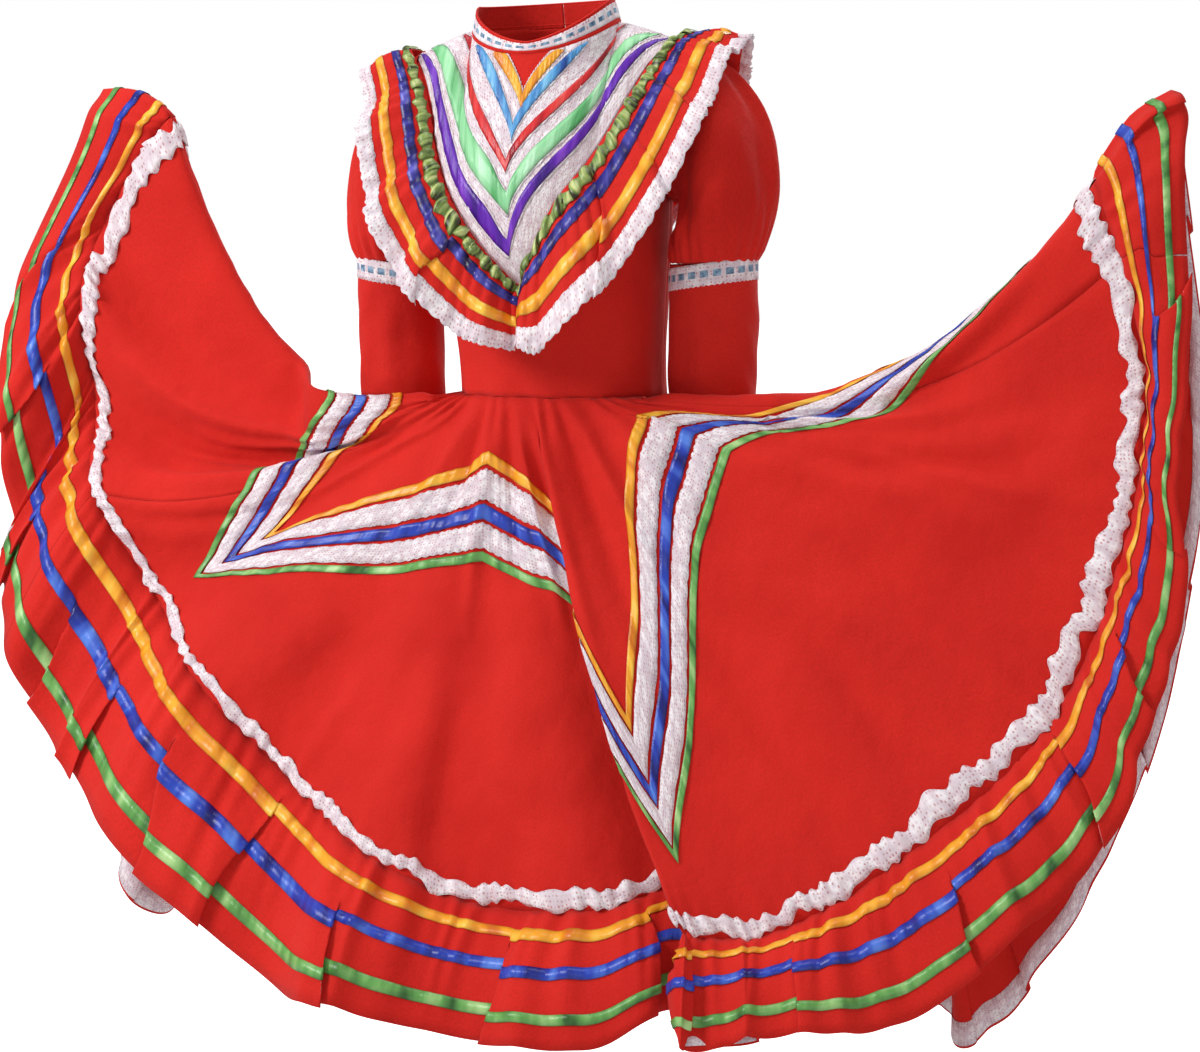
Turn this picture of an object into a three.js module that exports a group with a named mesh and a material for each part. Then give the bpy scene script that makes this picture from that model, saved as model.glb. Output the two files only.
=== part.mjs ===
// A Jalisco folklorico dress: fitted bodice with a V yoke, a ruffle round the yoke, puffed sleeves on straight
// lower sleeves, and a circle-and-a-half skirt with a star of ribbon and lace and a gathered flounce.
// The dress is worn and its skirt is spread. Millimetres, +Z up, the front faces -Y, +X is the wearer's left.
// The origin is where the wearer holds it: midway between the shoulders, at the base of the neck.
import * as THREE from "three";

// ---------------------------------------------------------------- driving sizes

const CLOTH = 1.6; // wall of the red cloth with its turnings
const TRIM = 0.7; // wall of ribbon and lace
const GAP = 0.75; // air between a panel and what lies on it
const SEAM = 0.35; // air between two pieces along a seam

const WAIST = { halfWidth: 120, halfDepth: 95, z: -410 };
const CHEST = { halfWidth: 138, front: 126, back: 102, z: -190 };
const NECK = { halfWidth: 86, front: 72, back: 62, frontZ: -24, sideZ: 10, backZ: 14 };
const SHOULDER = { x: 156, z: -14 };
const LEAN = { aside: -20, tilt: 0.035 }; // the wearer leans a little to the right with the left shoulder up
const ARMHOLE = { swing: 44, hollow: 5 }; // how far its edge swings forward and how far it cuts in
const COLLAR = { front: 11, side: 24, lean: 6 };
const YOKE = { tipZ: -286, backTipZ: -210, sideZ: -13, curve: 0.72, rightCurve: 1.25 };
const RUFFLE = { waves: 20, amplitude: 9, rise: 9, lace: 0.17 };
const BAND = { z: -258, halfWidth: 48, halfDepth: 46, height: 22 }; // where the puff meets the lower sleeve
const CUFF = { z: -418, halfWidth: 48, halfDepth: 44 };
const ARMS = {
  left: { side: 1, puff: 1.05, bandX: 187, bandY: -22, cuffX: 184, cuffY: -12, crest: 2 },
  right: { side: -1, puff: 0.5, bandX: 200, bandY: -12, cuffX: 204, cuffY: 6, crest: 235 },
}; // puff is how full the upper sleeve is; crest is the flat angle of the skirt's top fold, in front of the cuff

const SKIRT_LENGTH = 620; // waist seam to flounce seam
const SWEEP = 540; // degrees of circle in the flat cut: three half circles
const COLUMNS = 96; // columns of the skirt's mesh, 8 to each side of the star
const CENTRE_FRONT = 99; // flat angle that meets the waist's centre front
const GIRTH = Math.PI * Math.sqrt(2 * (WAIST.halfWidth ** 2 + WAIST.halfDepth ** 2));
const FLAT_RADIUS = GIRTH / THREE.MathUtils.degToRad(SWEEP); // radius of the waist edge in the flat cut
const SEAM_COLUMNS = [62, 94, 30]; // where the half circles are sewn together; the last is centre back
const STAR = { tips: 6, notchIn: 70, notchOut: 206, tipIn: 374, tipOut: 540 }; // distances below the waist
const FLOUNCE = { perColumn: 3, gap: 1.2, hemGather: 9, belly: 14 };

// ---------------------------------------------------------------- cloth

const rad = THREE.MathUtils.degToRad;
const vec = (x, y, z) => new THREE.Vector3(x, y, z);
const { lerp, clamp } = THREE.MathUtils;
const smooth = THREE.MathUtils.smoothstep;
const steps = (from, to, count) => Array.from({ length: count + 1 }, (_, i) => lerp(from, to, i / count));

// A sheet of points, points[row][column], seen from outside with its rows running down. Each point's outward
// normal is lengthened where the cloth bends sharply, so a wall keeps its thickness round a fold.
class Sheet {
  constructor(point, across, down, closed = false) {
    this.closed = closed;
    this.points = down.map((v) => across.map((u) => point(u, v)));
    this.findNormals();
  }
  findNormals() {
    this.normals = this.points.map((row, j) => row.map((_, i) => this.normalAt(j, i)));
  }
  at(j, i) {
    const row = this.points[clamp(j, 0, this.points.length - 1)];
    const n = row.length;
    return this.closed ? row[(i + n) % n] : row[clamp(i, 0, n - 1)];
  }
  normalAt(j, i) {
    const p = this.at(j, i);
    const down = this.at(j + 1, i).clone().sub(this.at(j - 1, i)).normalize();
    const sides = [p.clone().sub(this.at(j, i - 1)), this.at(j, i + 1).clone().sub(p)];
    const facings = sides.filter((side) => side.length() > 1e-6).map((side) => down.clone().cross(side).normalize());
    const normal = facings.reduce((sum, facing) => sum.add(facing), vec(0, 0, 0)).normalize();
    return normal.divideScalar(Math.max(0.55, Math.min(...facings.map((facing) => facing.dot(normal)))));
  }
  // The row at a fraction between two rows, as points and normals.
  row(f) {
    const j = Math.min(Math.floor(f), this.points.length - 2);
    const mix = (a, b) => a.map((p, i) => p.clone().lerp(b[i], f - j));
    return { points: mix(this.points[j], this.points[j + 1]), normals: mix(this.normals[j], this.normals[j + 1]) };
  }
  // A closed wall over some rows and columns, from one height above the sheet to another.
  wall({ rows, columns, from = 0, to = CLOTH, raise = () => 0, over = rows?.some((f) => f % 1) } = {}) {
    const whole = this.closed && !columns;
    const count = this.points[0].length;
    const [first, last] = columns ?? [0, count - 1];
    const picked = Array.from({ length: last - first + 1 }, (_, k) => (first + k) % count);
    const lines = (rows ?? this.points.map((_, j) => j)).map((f) => {
      const { points, normals } = this.row(f);
      const line = picked.map((i) => ({ p: points[i].clone(), n: normals[i] }));
      if (!whole) {
        const pull = (a, b) => a.p.add(b.p.clone().sub(a.p).setLength(SEAM / 2));
        pull(line[0], line[1]);
        pull(line.at(-1), line.at(-2));
      }
      return line;
    });
    return closedWall(lines, whole, from, to, raise, over);
  }
}

// Joins an inner and an outer layer of points into one closed body that faces out. Each quad is split along its
// lower diagonal on a panel and its higher one on a strip that crosses over it, so the strip stays clear.
function closedWall(lines, whole, from, to, raise, over) {
  const m = lines.length;
  const n = lines[0].length;
  const flat = [];
  for (const outer of [false, true]) {
    lines.forEach((line, j) =>
      line.forEach(({ p, n: normal }, i) => {
        const height = outer ? to + raise(j, i) : from;
        flat.push(...p.clone().addScaledVector(normal, height).toArray());
      }),
    );
  }
  const id = (outer, j, i) => (outer ? m * n : 0) + j * n + (i % n);
  const faces = [];
  const split = (other, a, b, c, d) => faces.push(...(other ? [a, b, d, b, c, d] : [a, b, c, a, c, d]));
  const spans = whole ? n : n - 1;
  for (let i = 0; i < spans; i++) {
    for (let j = 0; j < m - 1; j++) {
      const corners = [lines[j][i], lines[j + 1][i], lines[j + 1][(i + 1) % n], lines[j][(i + 1) % n]];
      const [a, b, c, d] = corners.map(({ p }) => p);
      const facing = corners.reduce((sum, corner) => sum.add(corner.n), vec(0, 0, 0));
      const mainIsHigher = a.clone().add(c).sub(b).sub(d).dot(facing) > 0;
      const other = over ? !mainIsHigher : mainIsHigher;
      split(other, id(1, j, i), id(1, j + 1, i), id(1, j + 1, i + 1), id(1, j, i + 1));
      split(other, id(0, j, i), id(0, j, i + 1), id(0, j + 1, i + 1), id(0, j + 1, i));
    }
    split(false, id(0, 0, i), id(1, 0, i), id(1, 0, i + 1), id(0, 0, i + 1));
    split(false, id(0, m - 1, i), id(0, m - 1, i + 1), id(1, m - 1, i + 1), id(1, m - 1, i));
  }
  if (!whole) {
    for (let j = 0; j < m - 1; j++) {
      split(false, id(0, j, 0), id(0, j + 1, 0), id(1, j + 1, 0), id(1, j, 0));
      split(false, id(0, j, n - 1), id(1, j, n - 1), id(1, j + 1, n - 1), id(0, j + 1, n - 1));
    }
  }
  const geometry = new THREE.BufferGeometry();
  geometry.setAttribute("position", new THREE.Float32BufferAttribute(flat, 3));
  geometry.setIndex(faces);
  geometry.computeVertexNormals();
  return geometry;
}

const COLOURS = {
  red: 0xd62a1c,
  white: 0xf1e6ea,
  yellow: 0xf3b02a,
  blue: 0x2f55c4,
  green: 0x76b865,
  purple: 0x4a1a96,
  sky: 0x5aa6dc,
  mint: 0x9fe0ae,
};
const dress = new THREE.Group();
function sew(name, geometry, colour, roughness = 0.75) {
  const material = new THREE.MeshStandardMaterial({ color: COLOURS[colour], roughness, metalness: 0 });
  const mesh = new THREE.Mesh(geometry, material);
  mesh.name = name;
  dress.add(mesh);
}

// A smooth value of one column of a table at a given key; the table repeats after each sweep of the key.
function through(table, key, column, at, sweep) {
  const n = table.length;
  const start = table[0][key];
  const turned = ((((at - start) % sweep) + sweep) % sweep) + start;
  const row = (k) => table[((k % n) + n) % n];
  const keyOf = (k) => row(k)[key] + Math.floor(k / n) * sweep;
  let k = n - 1;
  while (keyOf(k) > turned) k--;
  const [x0, x1, x2, x3] = [-1, 0, 1, 2].map((d) => keyOf(k + d));
  const [y0, y1, y2, y3] = [-1, 0, 1, 2].map((d) => row(k + d)[column]);
  const span = x2 - x1;
  const t = (turned - x1) / span;
  const slope1 = ((y2 - y0) / (x2 - x0)) * span;
  const slope2 = ((y3 - y1) / (x3 - x1)) * span;
  const start1 = (2 * t ** 3 - 3 * t ** 2 + 1) * y1 + (t ** 3 - 2 * t ** 2 + t) * slope1;
  return start1 + (3 * t ** 2 - 2 * t ** 3) * y2 + (t ** 3 - t ** 2) * slope2;
}

// A point of a curve from a to d that leaves a towards b and reaches d from c.
function bezier(a, b, c, d, t) {
  const p = a.clone().multiplyScalar((1 - t) ** 3);
  p.addScaledVector(b, 3 * t * (1 - t) ** 2);
  p.addScaledVector(c, 3 * t ** 2 * (1 - t));
  return p.addScaledVector(d, t ** 3);
}

// ---------------------------------------------------------------- bodice

// Leans a point of the upper body; the waist stays where it is.
function leaning(p) {
  const share = clamp((p.z - WAIST.z) / -WAIST.z, 0, 1.1);
  return vec(p.x + LEAN.aside * share, p.y, p.z + LEAN.tilt * share * p.x);
}
// The neckline and shoulder seam: u is 0 at the centre, NECK_U where the neckline meets the shoulder, 1 at its tip.
const NECK_U = 0.4;
function bodiceTop(face, u) {
  const size = Math.abs(u);
  if (size <= NECK_U) {
    const turn = (size / NECK_U) * (Math.PI / 2);
    const depth = face < 0 ? NECK.front : NECK.back;
    const centreZ = face < 0 ? NECK.frontZ : NECK.backZ;
    const z = lerp(NECK.sideZ, centreZ, Math.cos(turn) ** 1.4);
    return vec(Math.sign(u) * NECK.halfWidth * Math.sin(turn), face * depth * Math.cos(turn), z);
  }
  const t = (size - NECK_U) / (1 - NECK_U);
  const x = Math.sign(u) * lerp(NECK.halfWidth, SHOULDER.x, t);
  return vec(x, face * 0.3, lerp(NECK.sideZ, SHOULDER.z, t ** 1.2));
}
// The bodice's surface: face is -1 in front and 1 behind, v is 0 at the waist, 1 at the underarm, 2 at the top.
function bodicePoint(face, u, v) {
  const turn = u * (Math.PI / 2);
  const swell = Math.min(smooth(Math.min(v, 1), 0, 1.15) * 1.06, 1);
  const halfWidth = lerp(WAIST.halfWidth, CHEST.halfWidth, swell);
  const depth = lerp(WAIST.halfDepth, face < 0 ? CHEST.front : CHEST.back, swell);
  const low = vec(halfWidth * Math.sin(turn), face * depth * Math.cos(turn), 0);
  low.z = lerp(WAIST.z + SEAM, CHEST.z, Math.min(v, 1));
  if (v <= 1) return leaning(low);
  const top = bodiceTop(face, u);
  const edge = Math.abs(u) ** 5;
  const onNeck = 1 - smooth(Math.abs(u), 0.25, 0.6);
  const rise = vec(-Math.sign(u) * 8 * edge, face * 34 * edge, lerp(62, 16, edge));
  const fall = vec(0, face * lerp(44, 10, onNeck), lerp(-16, -46, onNeck));
  const p = bezier(low, low.clone().add(rise), top.clone().add(fall), top, v - 1);
  const open = Math.sin(Math.PI * (v - 1)) * edge;
  p.x -= Math.sign(u) * ARMHOLE.hollow * open;
  p.y += face * ARMHOLE.swing * 0.42 * open;
  return leaning(p);
}
const heightToV = (z) => (z < CHEST.z ? (z - WAIST.z) / (CHEST.z - WAIST.z) : 1 + (z - CHEST.z) / -CHEST.z);
// The lower edge of the yoke, a V from shoulder to shoulder, as v for a given u.
function yokeEdge(face, u) {
  const tip = heightToV(face < 0 ? YOKE.tipZ : YOKE.backTipZ);
  return lerp(tip, heightToV(YOKE.sideZ), Math.abs(u) ** (face < 0 && u < 0 ? YOKE.rightCurve : YOKE.curve));
}

// Rows run down from the top to the yoke's edge, then to the waist.
const BODICE_U = [0, 0.1, 0.2, 0.3, 0.4, 0.58, 0.75, 0.9, 1];
const HALF = BODICE_U.length - 1;
const YOKE_ROWS = [0, 1, 2, 3, 4];
const BELOW_YOKE = [0.13, 0.27, 0.39, 1 - 1 / heightToV(YOKE.sideZ), 0.74, 1]; // the fourth is at the underarm
const BODICE_ROWS = YOKE_ROWS.length + BELOW_YOKE.length;
function bodiceV(face, u, row) {
  const edge = yokeEdge(face, u);
  const last = YOKE_ROWS.length - 1;
  return row <= last ? lerp(2, edge, row / last) : lerp(edge, 0, BELOW_YOKE[row - last - 1]);
}
function bodiceSheet(face) {
  const us = [...BODICE_U.slice(1).map((u) => -u).reverse(), ...BODICE_U].map((u) => -face * u);
  return new Sheet((u, row) => bodicePoint(face, u, bodiceV(face, u, row)), us, steps(0, BODICE_ROWS - 1, BODICE_ROWS - 1));
}
const front = bodiceSheet(-1);
const back = bodiceSheet(1);
sew("bodice_front", front.wall(), "red");
sew("bodice_back_left", back.wall({ columns: [0, HALF] }), "red");
sew("bodice_back_right", back.wall({ columns: [HALF, 2 * HALF] }), "red");

// White lace laid over the yoke, open down the back like the bodice.
const onPanel = { from: CLOTH + GAP, to: CLOTH + GAP + TRIM };
sew("yoke_front", front.wall({ rows: YOKE_ROWS, ...onPanel }), "white", 0.9);
sew("yoke_back_left", back.wall({ rows: YOKE_ROWS, columns: [0, HALF], ...onPanel }), "white", 0.9);
sew("yoke_back_right", back.wall({ rows: YOKE_ROWS, columns: [HALF, 2 * HALF], ...onPanel }), "white", 0.9);

// Ribbons in nested V shapes on the front yoke: how far in u the tip lies aside, how much the wearer's right
// arm bows out, the tip's height, and the u where the arms reach the top edge.
const YOKE_RIBBONS = [
  { name: "yoke_ribbon_yellow", aside: 0, bow: 0.72, tipZ: -80, endU: 0.12, width: 16, proud: 1.4, colour: "yellow" },
  { name: "yoke_ribbon_sky", aside: -0.03, bow: 0.78, tipZ: -120, endU: 0.21, width: 19, proud: 1.7, colour: "sky" },
  { name: "yoke_ribbon_red", aside: -0.055, bow: 0.9, tipZ: -157, endU: 0.5, width: 18, proud: 1.5, colour: "red" },
  { name: "yoke_ribbon_mint", aside: -0.05, bow: 1.05, tipZ: -204, endU: 0.84, width: 22, proud: 2, colour: "mint" },
  { name: "yoke_ribbon_purple", aside: -0.07, bow: 1.15, tipZ: -250, endU: 0.94, width: 22, proud: 2, colour: "purple" },
];
// The point of the front panel's mesh at a given u and v of the yoke.
function onYoke(u, v) {
  const size = Math.abs(u);
  const k = Math.min(BODICE_U.findLastIndex((x) => x <= size), HALF - 1);
  const share = (size - BODICE_U[k]) / (BODICE_U[k + 1] - BODICE_U[k]);
  const last = YOKE_ROWS.length - 1;
  const points = [k, k + 1].map((c) => {
    const edge = yokeEdge(-1, Math.sign(u) * BODICE_U[c]);
    const column = HALF + Math.sign(u) * c;
    return front.row((clamp(2 - v, 0, 2 - edge) / (2 - edge)) * last).points[column];
  });
  return points[0].clone().lerp(points[1], share);
}
for (const { name, aside, bow, tipZ, endU, width, proud, colour } of YOKE_RIBBONS) {
  const path = (u, across) => {
    const t = (Math.abs(u) / endU) ** (u < 0 ? bow : YOKE.curve);
    const rise = (heightToV(tipZ + width) - heightToV(tipZ)) * (1 - t ** 6);
    const v = lerp(heightToV(tipZ), 1.97, t) + rise * across;
    const shift = aside * (u > 0 ? 1 - t : 1 - 0.4 * t);
    return onYoke(u + shift, Math.min(v, 1.99) - 0.02 * t * (1 - across));
  };
  const stations = BODICE_U.flatMap((u, k) => (k ? [(u + BODICE_U[k - 1]) / 2, u] : [u]));
  const half = [...stations.filter((u) => u < endU - 0.02), endU];
  const across = [...half.slice(1).map((u) => -u).reverse(), ...half];
  const ribbon = new Sheet(path, across, [1, 0]);
  const height = CLOTH + GAP + TRIM + proud;
  sew(name, ribbon.wall({ from: height, to: height + TRIM, over: true }), colour, 0.5);
}

// ---------------------------------------------------------------- collar

// Turn is 0 at centre back and runs round by the wearer's left, so the strip is open at centre back.
function collarPoint(turn, t) {
  const a = rad(turn);
  const isFront = Math.cos(a) < 0;
  const u = (NECK_U * (90 - Math.abs(90 - (turn % 180)))) / 90;
  const face = isFront ? -1 : 1;
  const size = isFront ? NECK_U * (Math.abs(turn - 180) / 90) : u;
  const base = bodiceTop(face, Math.sin(a) < 0 ? -size : size);
  const side = Math.sin(a) ** 2;
  base.z += SEAM + lerp(1.6, 2.3, side);
  const height = isFront ? lerp(COLLAR.front, COLLAR.side, Math.abs(Math.sin(a)) ** 1.2) : COLLAR.side;
  const lean = COLLAR.lean * t;
  base.x -= lean * Math.sin(a);
  base.y -= lean * 0.5 * Math.cos(a);
  base.z += height * t;
  return leaning(base);
}
const collarTurns = steps(359.8, 0.2, 32).map((turn, k) => (k % 32 ? 360 - k * 11.25 : turn));
const collar = new Sheet(collarPoint, collarTurns, [1, 0]);
sew("collar", collar.wall(), "red");
sew("collar_lace", collar.wall({ rows: [0.1, 0.86], ...onPanel }), "white", 0.9);

// ---------------------------------------------------------------- ruffle round the yoke

// Which way the ruffle lies at places round the yoke: q is 0 at the front tip, 25 at the left shoulder, 50 at
// the back tip and 75 at the right shoulder; out, ahead and down make the direction, depth is its length.
const RUFFLE_LIE = [
  { q: 0, out: 0, ahead: -0.3, down: 0.95, depth: 72 },
  { q: 1.5, out: 0.04, ahead: -0.32, down: 0.94, depth: 100 },
  { q: 3, out: 0.1, ahead: -0.34, down: 0.93, depth: 122 },
  { q: 6, out: 0.24, ahead: -0.38, down: 0.9, depth: 130 },
  { q: 9, out: 0.4, ahead: -0.4, down: 0.82, depth: 122 },
  { q: 12, out: 0.58, ahead: -0.42, down: 0.7, depth: 110 },
  { q: 18, out: 0.86, ahead: -0.38, down: 0.32, depth: 92 },
  { q: 25, out: 0.99, ahead: 0, down: 0.08, depth: 68 },
  { q: 32, out: 0.88, ahead: 0.38, down: 0.3, depth: 86 },
  { q: 40, out: 0.6, ahead: 0.42, down: 0.7, depth: 96 },
  { q: 47, out: 0.14, ahead: 0.36, down: 0.92, depth: 88 },
  { q: 50, out: 0, ahead: 0.36, down: 0.93, depth: 74 },
  { q: 53, out: -0.14, ahead: 0.36, down: 0.92, depth: 88 },
  { q: 60, out: -0.6, ahead: 0.42, down: 0.7, depth: 96 },
  { q: 68, out: -0.84, ahead: 0.38, down: 0.48, depth: 78 },
  { q: 75, out: -0.9, ahead: 0, down: 0.42, depth: 58 },
  { q: 82, out: -0.86, ahead: -0.44, down: 0.42, depth: 78 },
  { q: 88, out: -0.54, ahead: -0.42, down: 0.78, depth: 92 },
  { q: 91, out: -0.34, ahead: -0.4, down: 0.88, depth: 94 },
  { q: 94, out: -0.18, ahead: -0.38, down: 0.93, depth: 92 },
  { q: 97, out: -0.06, ahead: -0.34, down: 0.94, depth: 84 },
  { q: 98.5, out: -0.02, ahead: -0.32, down: 0.95, depth: 76 },
];
function rufflePoint(q, t) {
  const quarter = q / 25;
  const u = quarter <= 1 ? quarter : quarter <= 3 ? 2 - quarter : quarter - 4;
  const face = quarter <= 1 || quarter > 3 ? -1 : 1;
  const joint = 1 - smooth(1 - Math.abs(u), 0, 0.25);
  const start = bodicePoint(face, u, yokeEdge(face, u));
  const centre = vec(0, 0, start.z);
  const outward = start.clone().sub(centre).normalize();
  start.addScaledVector(outward, 5.3);
  start.z += 10 * joint;
  start.x += Math.sign(u) * 4 * joint;
  const value = (column) => through(RUFFLE_LIE, "q", column, q, 100);
  const lie = vec(value("out"), value("ahead"), -value("down")).normalize();
  const side = vec(-lie.y, lie.x, 0).normalize();
  const up = lie.clone().cross(side);
  if (up.dot(outward) < 0 && up.z < 0) up.negate();
  const wave = Math.sin((q / 100) * RUFFLE.waves * 2 * Math.PI + 0.5 * Math.sin(q * 0.5));
  const lift = RUFFLE.amplitude * t * wave + RUFFLE.rise * Math.sin(Math.PI * Math.min(t, 1)) * 0.8;
  return start.addScaledVector(lie, value("depth") * t).addScaledVector(up, lift);
}
const ruffleStations = steps(50.15, 149.85, RUFFLE.waves * 4).map((q) => q % 100);
const ruffle = new Sheet(rufflePoint, ruffleStations, [0, 0.5, 1]);
sew("ruffle", ruffle.wall(), "red");
const ruffleEdge = new Sheet(rufflePoint, ruffleStations, [1.02, 1 + RUFFLE.lace]);
sew("ruffle_lace", ruffleEdge.wall({ from: 0.4, to: 0.4 + TRIM }), "white", 0.9);

// ---------------------------------------------------------------- sleeves

const PUFF_COLUMNS = 20;
const PUFF_ROWS = [0, 0.16, 0.36, 0.58, 0.8, 1];
const TUBE_COLUMNS = 16;
// A ring of a sleeve at a share of the way from the band to the cuff: turn 0 is its outer side, 90 its front.
function sleeveRing(arm, turn, t, grow = 0) {
  const a = rad(turn);
  const x = lerp(arm.bandX, arm.cuffX, t) + (lerp(BAND.halfWidth, CUFF.halfWidth, t) + grow) * Math.cos(a);
  const y = lerp(arm.bandY, arm.cuffY, t) - (lerp(BAND.halfDepth, CUFF.halfDepth, t) + grow) * Math.sin(a);
  return vec(arm.side * x, y, lerp(BAND.z, CUFF.z, t));
}
// The armhole's edge on the bodice's mesh; outer is 0 at the underarm and 1 at the shoulder's tip.
function armholePoint(face, side, outer) {
  const sheet = face < 0 ? front : back;
  const column = side * face < 0 ? 2 * HALF : 0;
  let row = BODICE_ROWS - 2;
  while (row > 0 && bodiceV(face, 1, row) < 1 + outer) row--;
  const [above, below] = [bodiceV(face, 1, row), bodiceV(face, 1, row + 1)];
  return sheet.row(row + clamp((above - 1 - outer) / (above - below), 0, 1)).points[column].clone();
}
function puffPoint(arm, turn, t) {
  const a = rad(turn);
  const { side } = arm;
  const outer = (1 + Math.cos(a)) / 2;
  const face = Math.sin(a) >= 0 ? -1 : 1;
  const start = armholePoint(face, side, outer);
  start.x += side * (CLOTH + SEAM + 0.2 + 1.6 * (1 - outer));
  const leave = vec(side * arm.puff * lerp(46, 112, outer), -40 * Math.sin(a), lerp(-6, -34, outer));
  const end = sleeveRing(arm, turn, 0);
  const reach = vec(side * 44 * Math.cos(a), -40 * Math.sin(a), 56 + 26 * Math.cos(a));
  if (Math.cos(a) < 0) reach.x *= 0.1;
  const p = bezier(start, start.clone().add(leave), end.clone().add(reach), end, t);
  const gather = 1.4 * Math.cos((turn / 360) * PUFF_COLUMNS * Math.PI) * (0.4 + Math.sin(Math.PI * t));
  return p.add(vec(side * gather * Math.cos(a), -gather * Math.sin(a), 0));
}
for (const [name, arm] of Object.entries(ARMS)) {
  const around = (count) => steps(0, 360, count).slice(0, -1).map((turn) => (arm.side < 0 ? turn : (360 - turn) % 360));
  const puff = new Sheet((turn, t) => puffPoint(arm, turn, t), around(PUFF_COLUMNS), PUFF_ROWS, true);
  sew(`puff_${name}`, puff.wall(), "red");
  const tube = (turn, t) => sleeveRing(arm, turn, t, 2.5 * Math.sin(Math.PI * t));
  const lower = new Sheet(tube, around(TUBE_COLUMNS), [0.012, 0.5, 1], true);
  sew(`sleeve_${name}`, lower.wall(), "red");
  const bandEnd = BAND.height / (BAND.z - CUFF.z);
  const band = new Sheet(tube, around(TUBE_COLUMNS), [0.018, bandEnd], true);
  sew(`sleeve_lace_${name}`, band.wall({ from: 2.3, to: 2.3 + TRIM }), "white", 0.9);
}

// ---------------------------------------------------------------- skirt

// Where the flounce seam and the hem hang, a row for each main rib of the skirt: angle is the flat angle,
// x y z the seam, hemX hemY hemZ the hem, sag how far the rib dips and sway how far it bends aside halfway.
const RIBS = [
  { angle: -3, x: 620, y: -26, z: -184, hemX: 710, hemY: -20, hemZ: -108, sag: 92, sway: 0 },
  { angle: 7, x: 636, y: -80, z: -196, hemX: 714, hemY: -66, hemZ: -120, sag: 92, sway: 0 },
  { angle: 20, x: 690, y: -90, z: -396, hemX: 744, hemY: -130, hemZ: -450, sag: 30, sway: 0 },
  { angle: 37, x: 654, y: -130, z: -610, hemX: 728, hemY: -184, hemZ: -690, sag: -40, sway: -22 },
  { angle: 53, x: 574, y: -176, z: -776, hemX: 650, hemY: -238, hemZ: -884, sag: -50, sway: -24 },
  { angle: 68, x: 442, y: -214, z: -896, hemX: 496, hemY: -284, hemZ: -1022, sag: -24, sway: -16 },
  { angle: 82, x: 330, y: -250, z: -964, hemX: 352, hemY: -336, hemZ: -1062, sag: 0, sway: -6 },
  { angle: 95, x: 236, y: -284, z: -966, hemX: 258, hemY: -360, hemZ: -1066, sag: 0, sway: -26 },
  { angle: 105, x: 300, y: -234, z: -948, hemX: 338, hemY: -304, hemZ: -1060, sag: 0, sway: -24 },
  { angle: 115, x: 210, y: -206, z: -930, hemX: 236, hemY: -276, hemZ: -1056, sag: 0, sway: -22 },
  { angle: 124, x: 118, y: -232, z: -962, hemX: 134, hemY: -314, hemZ: -1092, sag: 0, sway: -14 },
  { angle: 138, x: -58, y: -236, z: -956, hemX: -70, hemY: -314, hemZ: -1092, sag: 0, sway: -8 },
  { angle: 155, x: -252, y: -188, z: -866, hemX: -288, hemY: -286, hemZ: -1034, sag: 4, sway: 0 },
  { angle: 175, x: -460, y: -102, z: -698, hemX: -542, hemY: -190, hemZ: -880, sag: 12, sway: 0 },
  { angle: 195, x: -598, y: -26, z: -508, hemX: -696, hemY: -70, hemZ: -692, sag: 55, sway: 0 },
  { angle: 216, x: -632, y: 30, z: -292, hemX: -728, hemY: -6, hemZ: -452, sag: 105, sway: 0 },
  { angle: 224, x: -616, y: 44, z: -196, hemX: -726, hemY: 34, hemZ: -262, sag: 126, sway: 0 },
  { angle: 231, x: -544, y: 50, z: -100, hemX: -650, hemY: 66, hemZ: -72, sag: 148, sway: 0 },
  { angle: 239, x: -538, y: 76, z: -100, hemX: -646, hemY: 106, hemZ: -70, sag: 148, sway: 0 },
  { angle: 252, x: -620, y: 84, z: -268, hemX: -722, hemY: 124, hemZ: -310, sag: 115, sway: 0 },
  { angle: 269, x: -640, y: 120, z: -470, hemX: -734, hemY: 172, hemZ: -556, sag: 70, sway: 0 },
  { angle: 290, x: -640, y: 156, z: -748, hemX: -748, hemY: 190, hemZ: -918, sag: 12, sway: 0 },
  { angle: 308, x: -560, y: 210, z: -944, hemX: -640, hemY: 240, hemZ: -1120, sag: 0, sway: 0 },
  { angle: 350, x: -258, y: 300, z: -986, hemX: -286, hemY: 356, hemZ: -1150, sag: 0, sway: 0 },
  { angle: 392, x: 0, y: 316, z: -990, hemX: 0, hemY: 376, hemZ: -1154, sag: 0, sway: 0 },
  { angle: 432, x: 226, y: 284, z: -994, hemX: 250, hemY: 340, hemZ: -1176, sag: 0, sway: 0 },
  { angle: 466, x: 436, y: 216, z: -990, hemX: 480, hemY: 240, hemZ: -1176, sag: 0, sway: 0 },
  { angle: 486, x: 566, y: 152, z: -770, hemX: 632, hemY: 192, hemZ: -904, sag: 10, sway: 0 },
  { angle: 502, x: 628, y: 82, z: -560, hemX: 694, hemY: 130, hemZ: -700, sag: 26, sway: 0 },
  { angle: 522, x: 664, y: 8, z: -330, hemX: 728, hemY: 60, hemZ: -420, sag: 70, sway: 0 },
];
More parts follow.
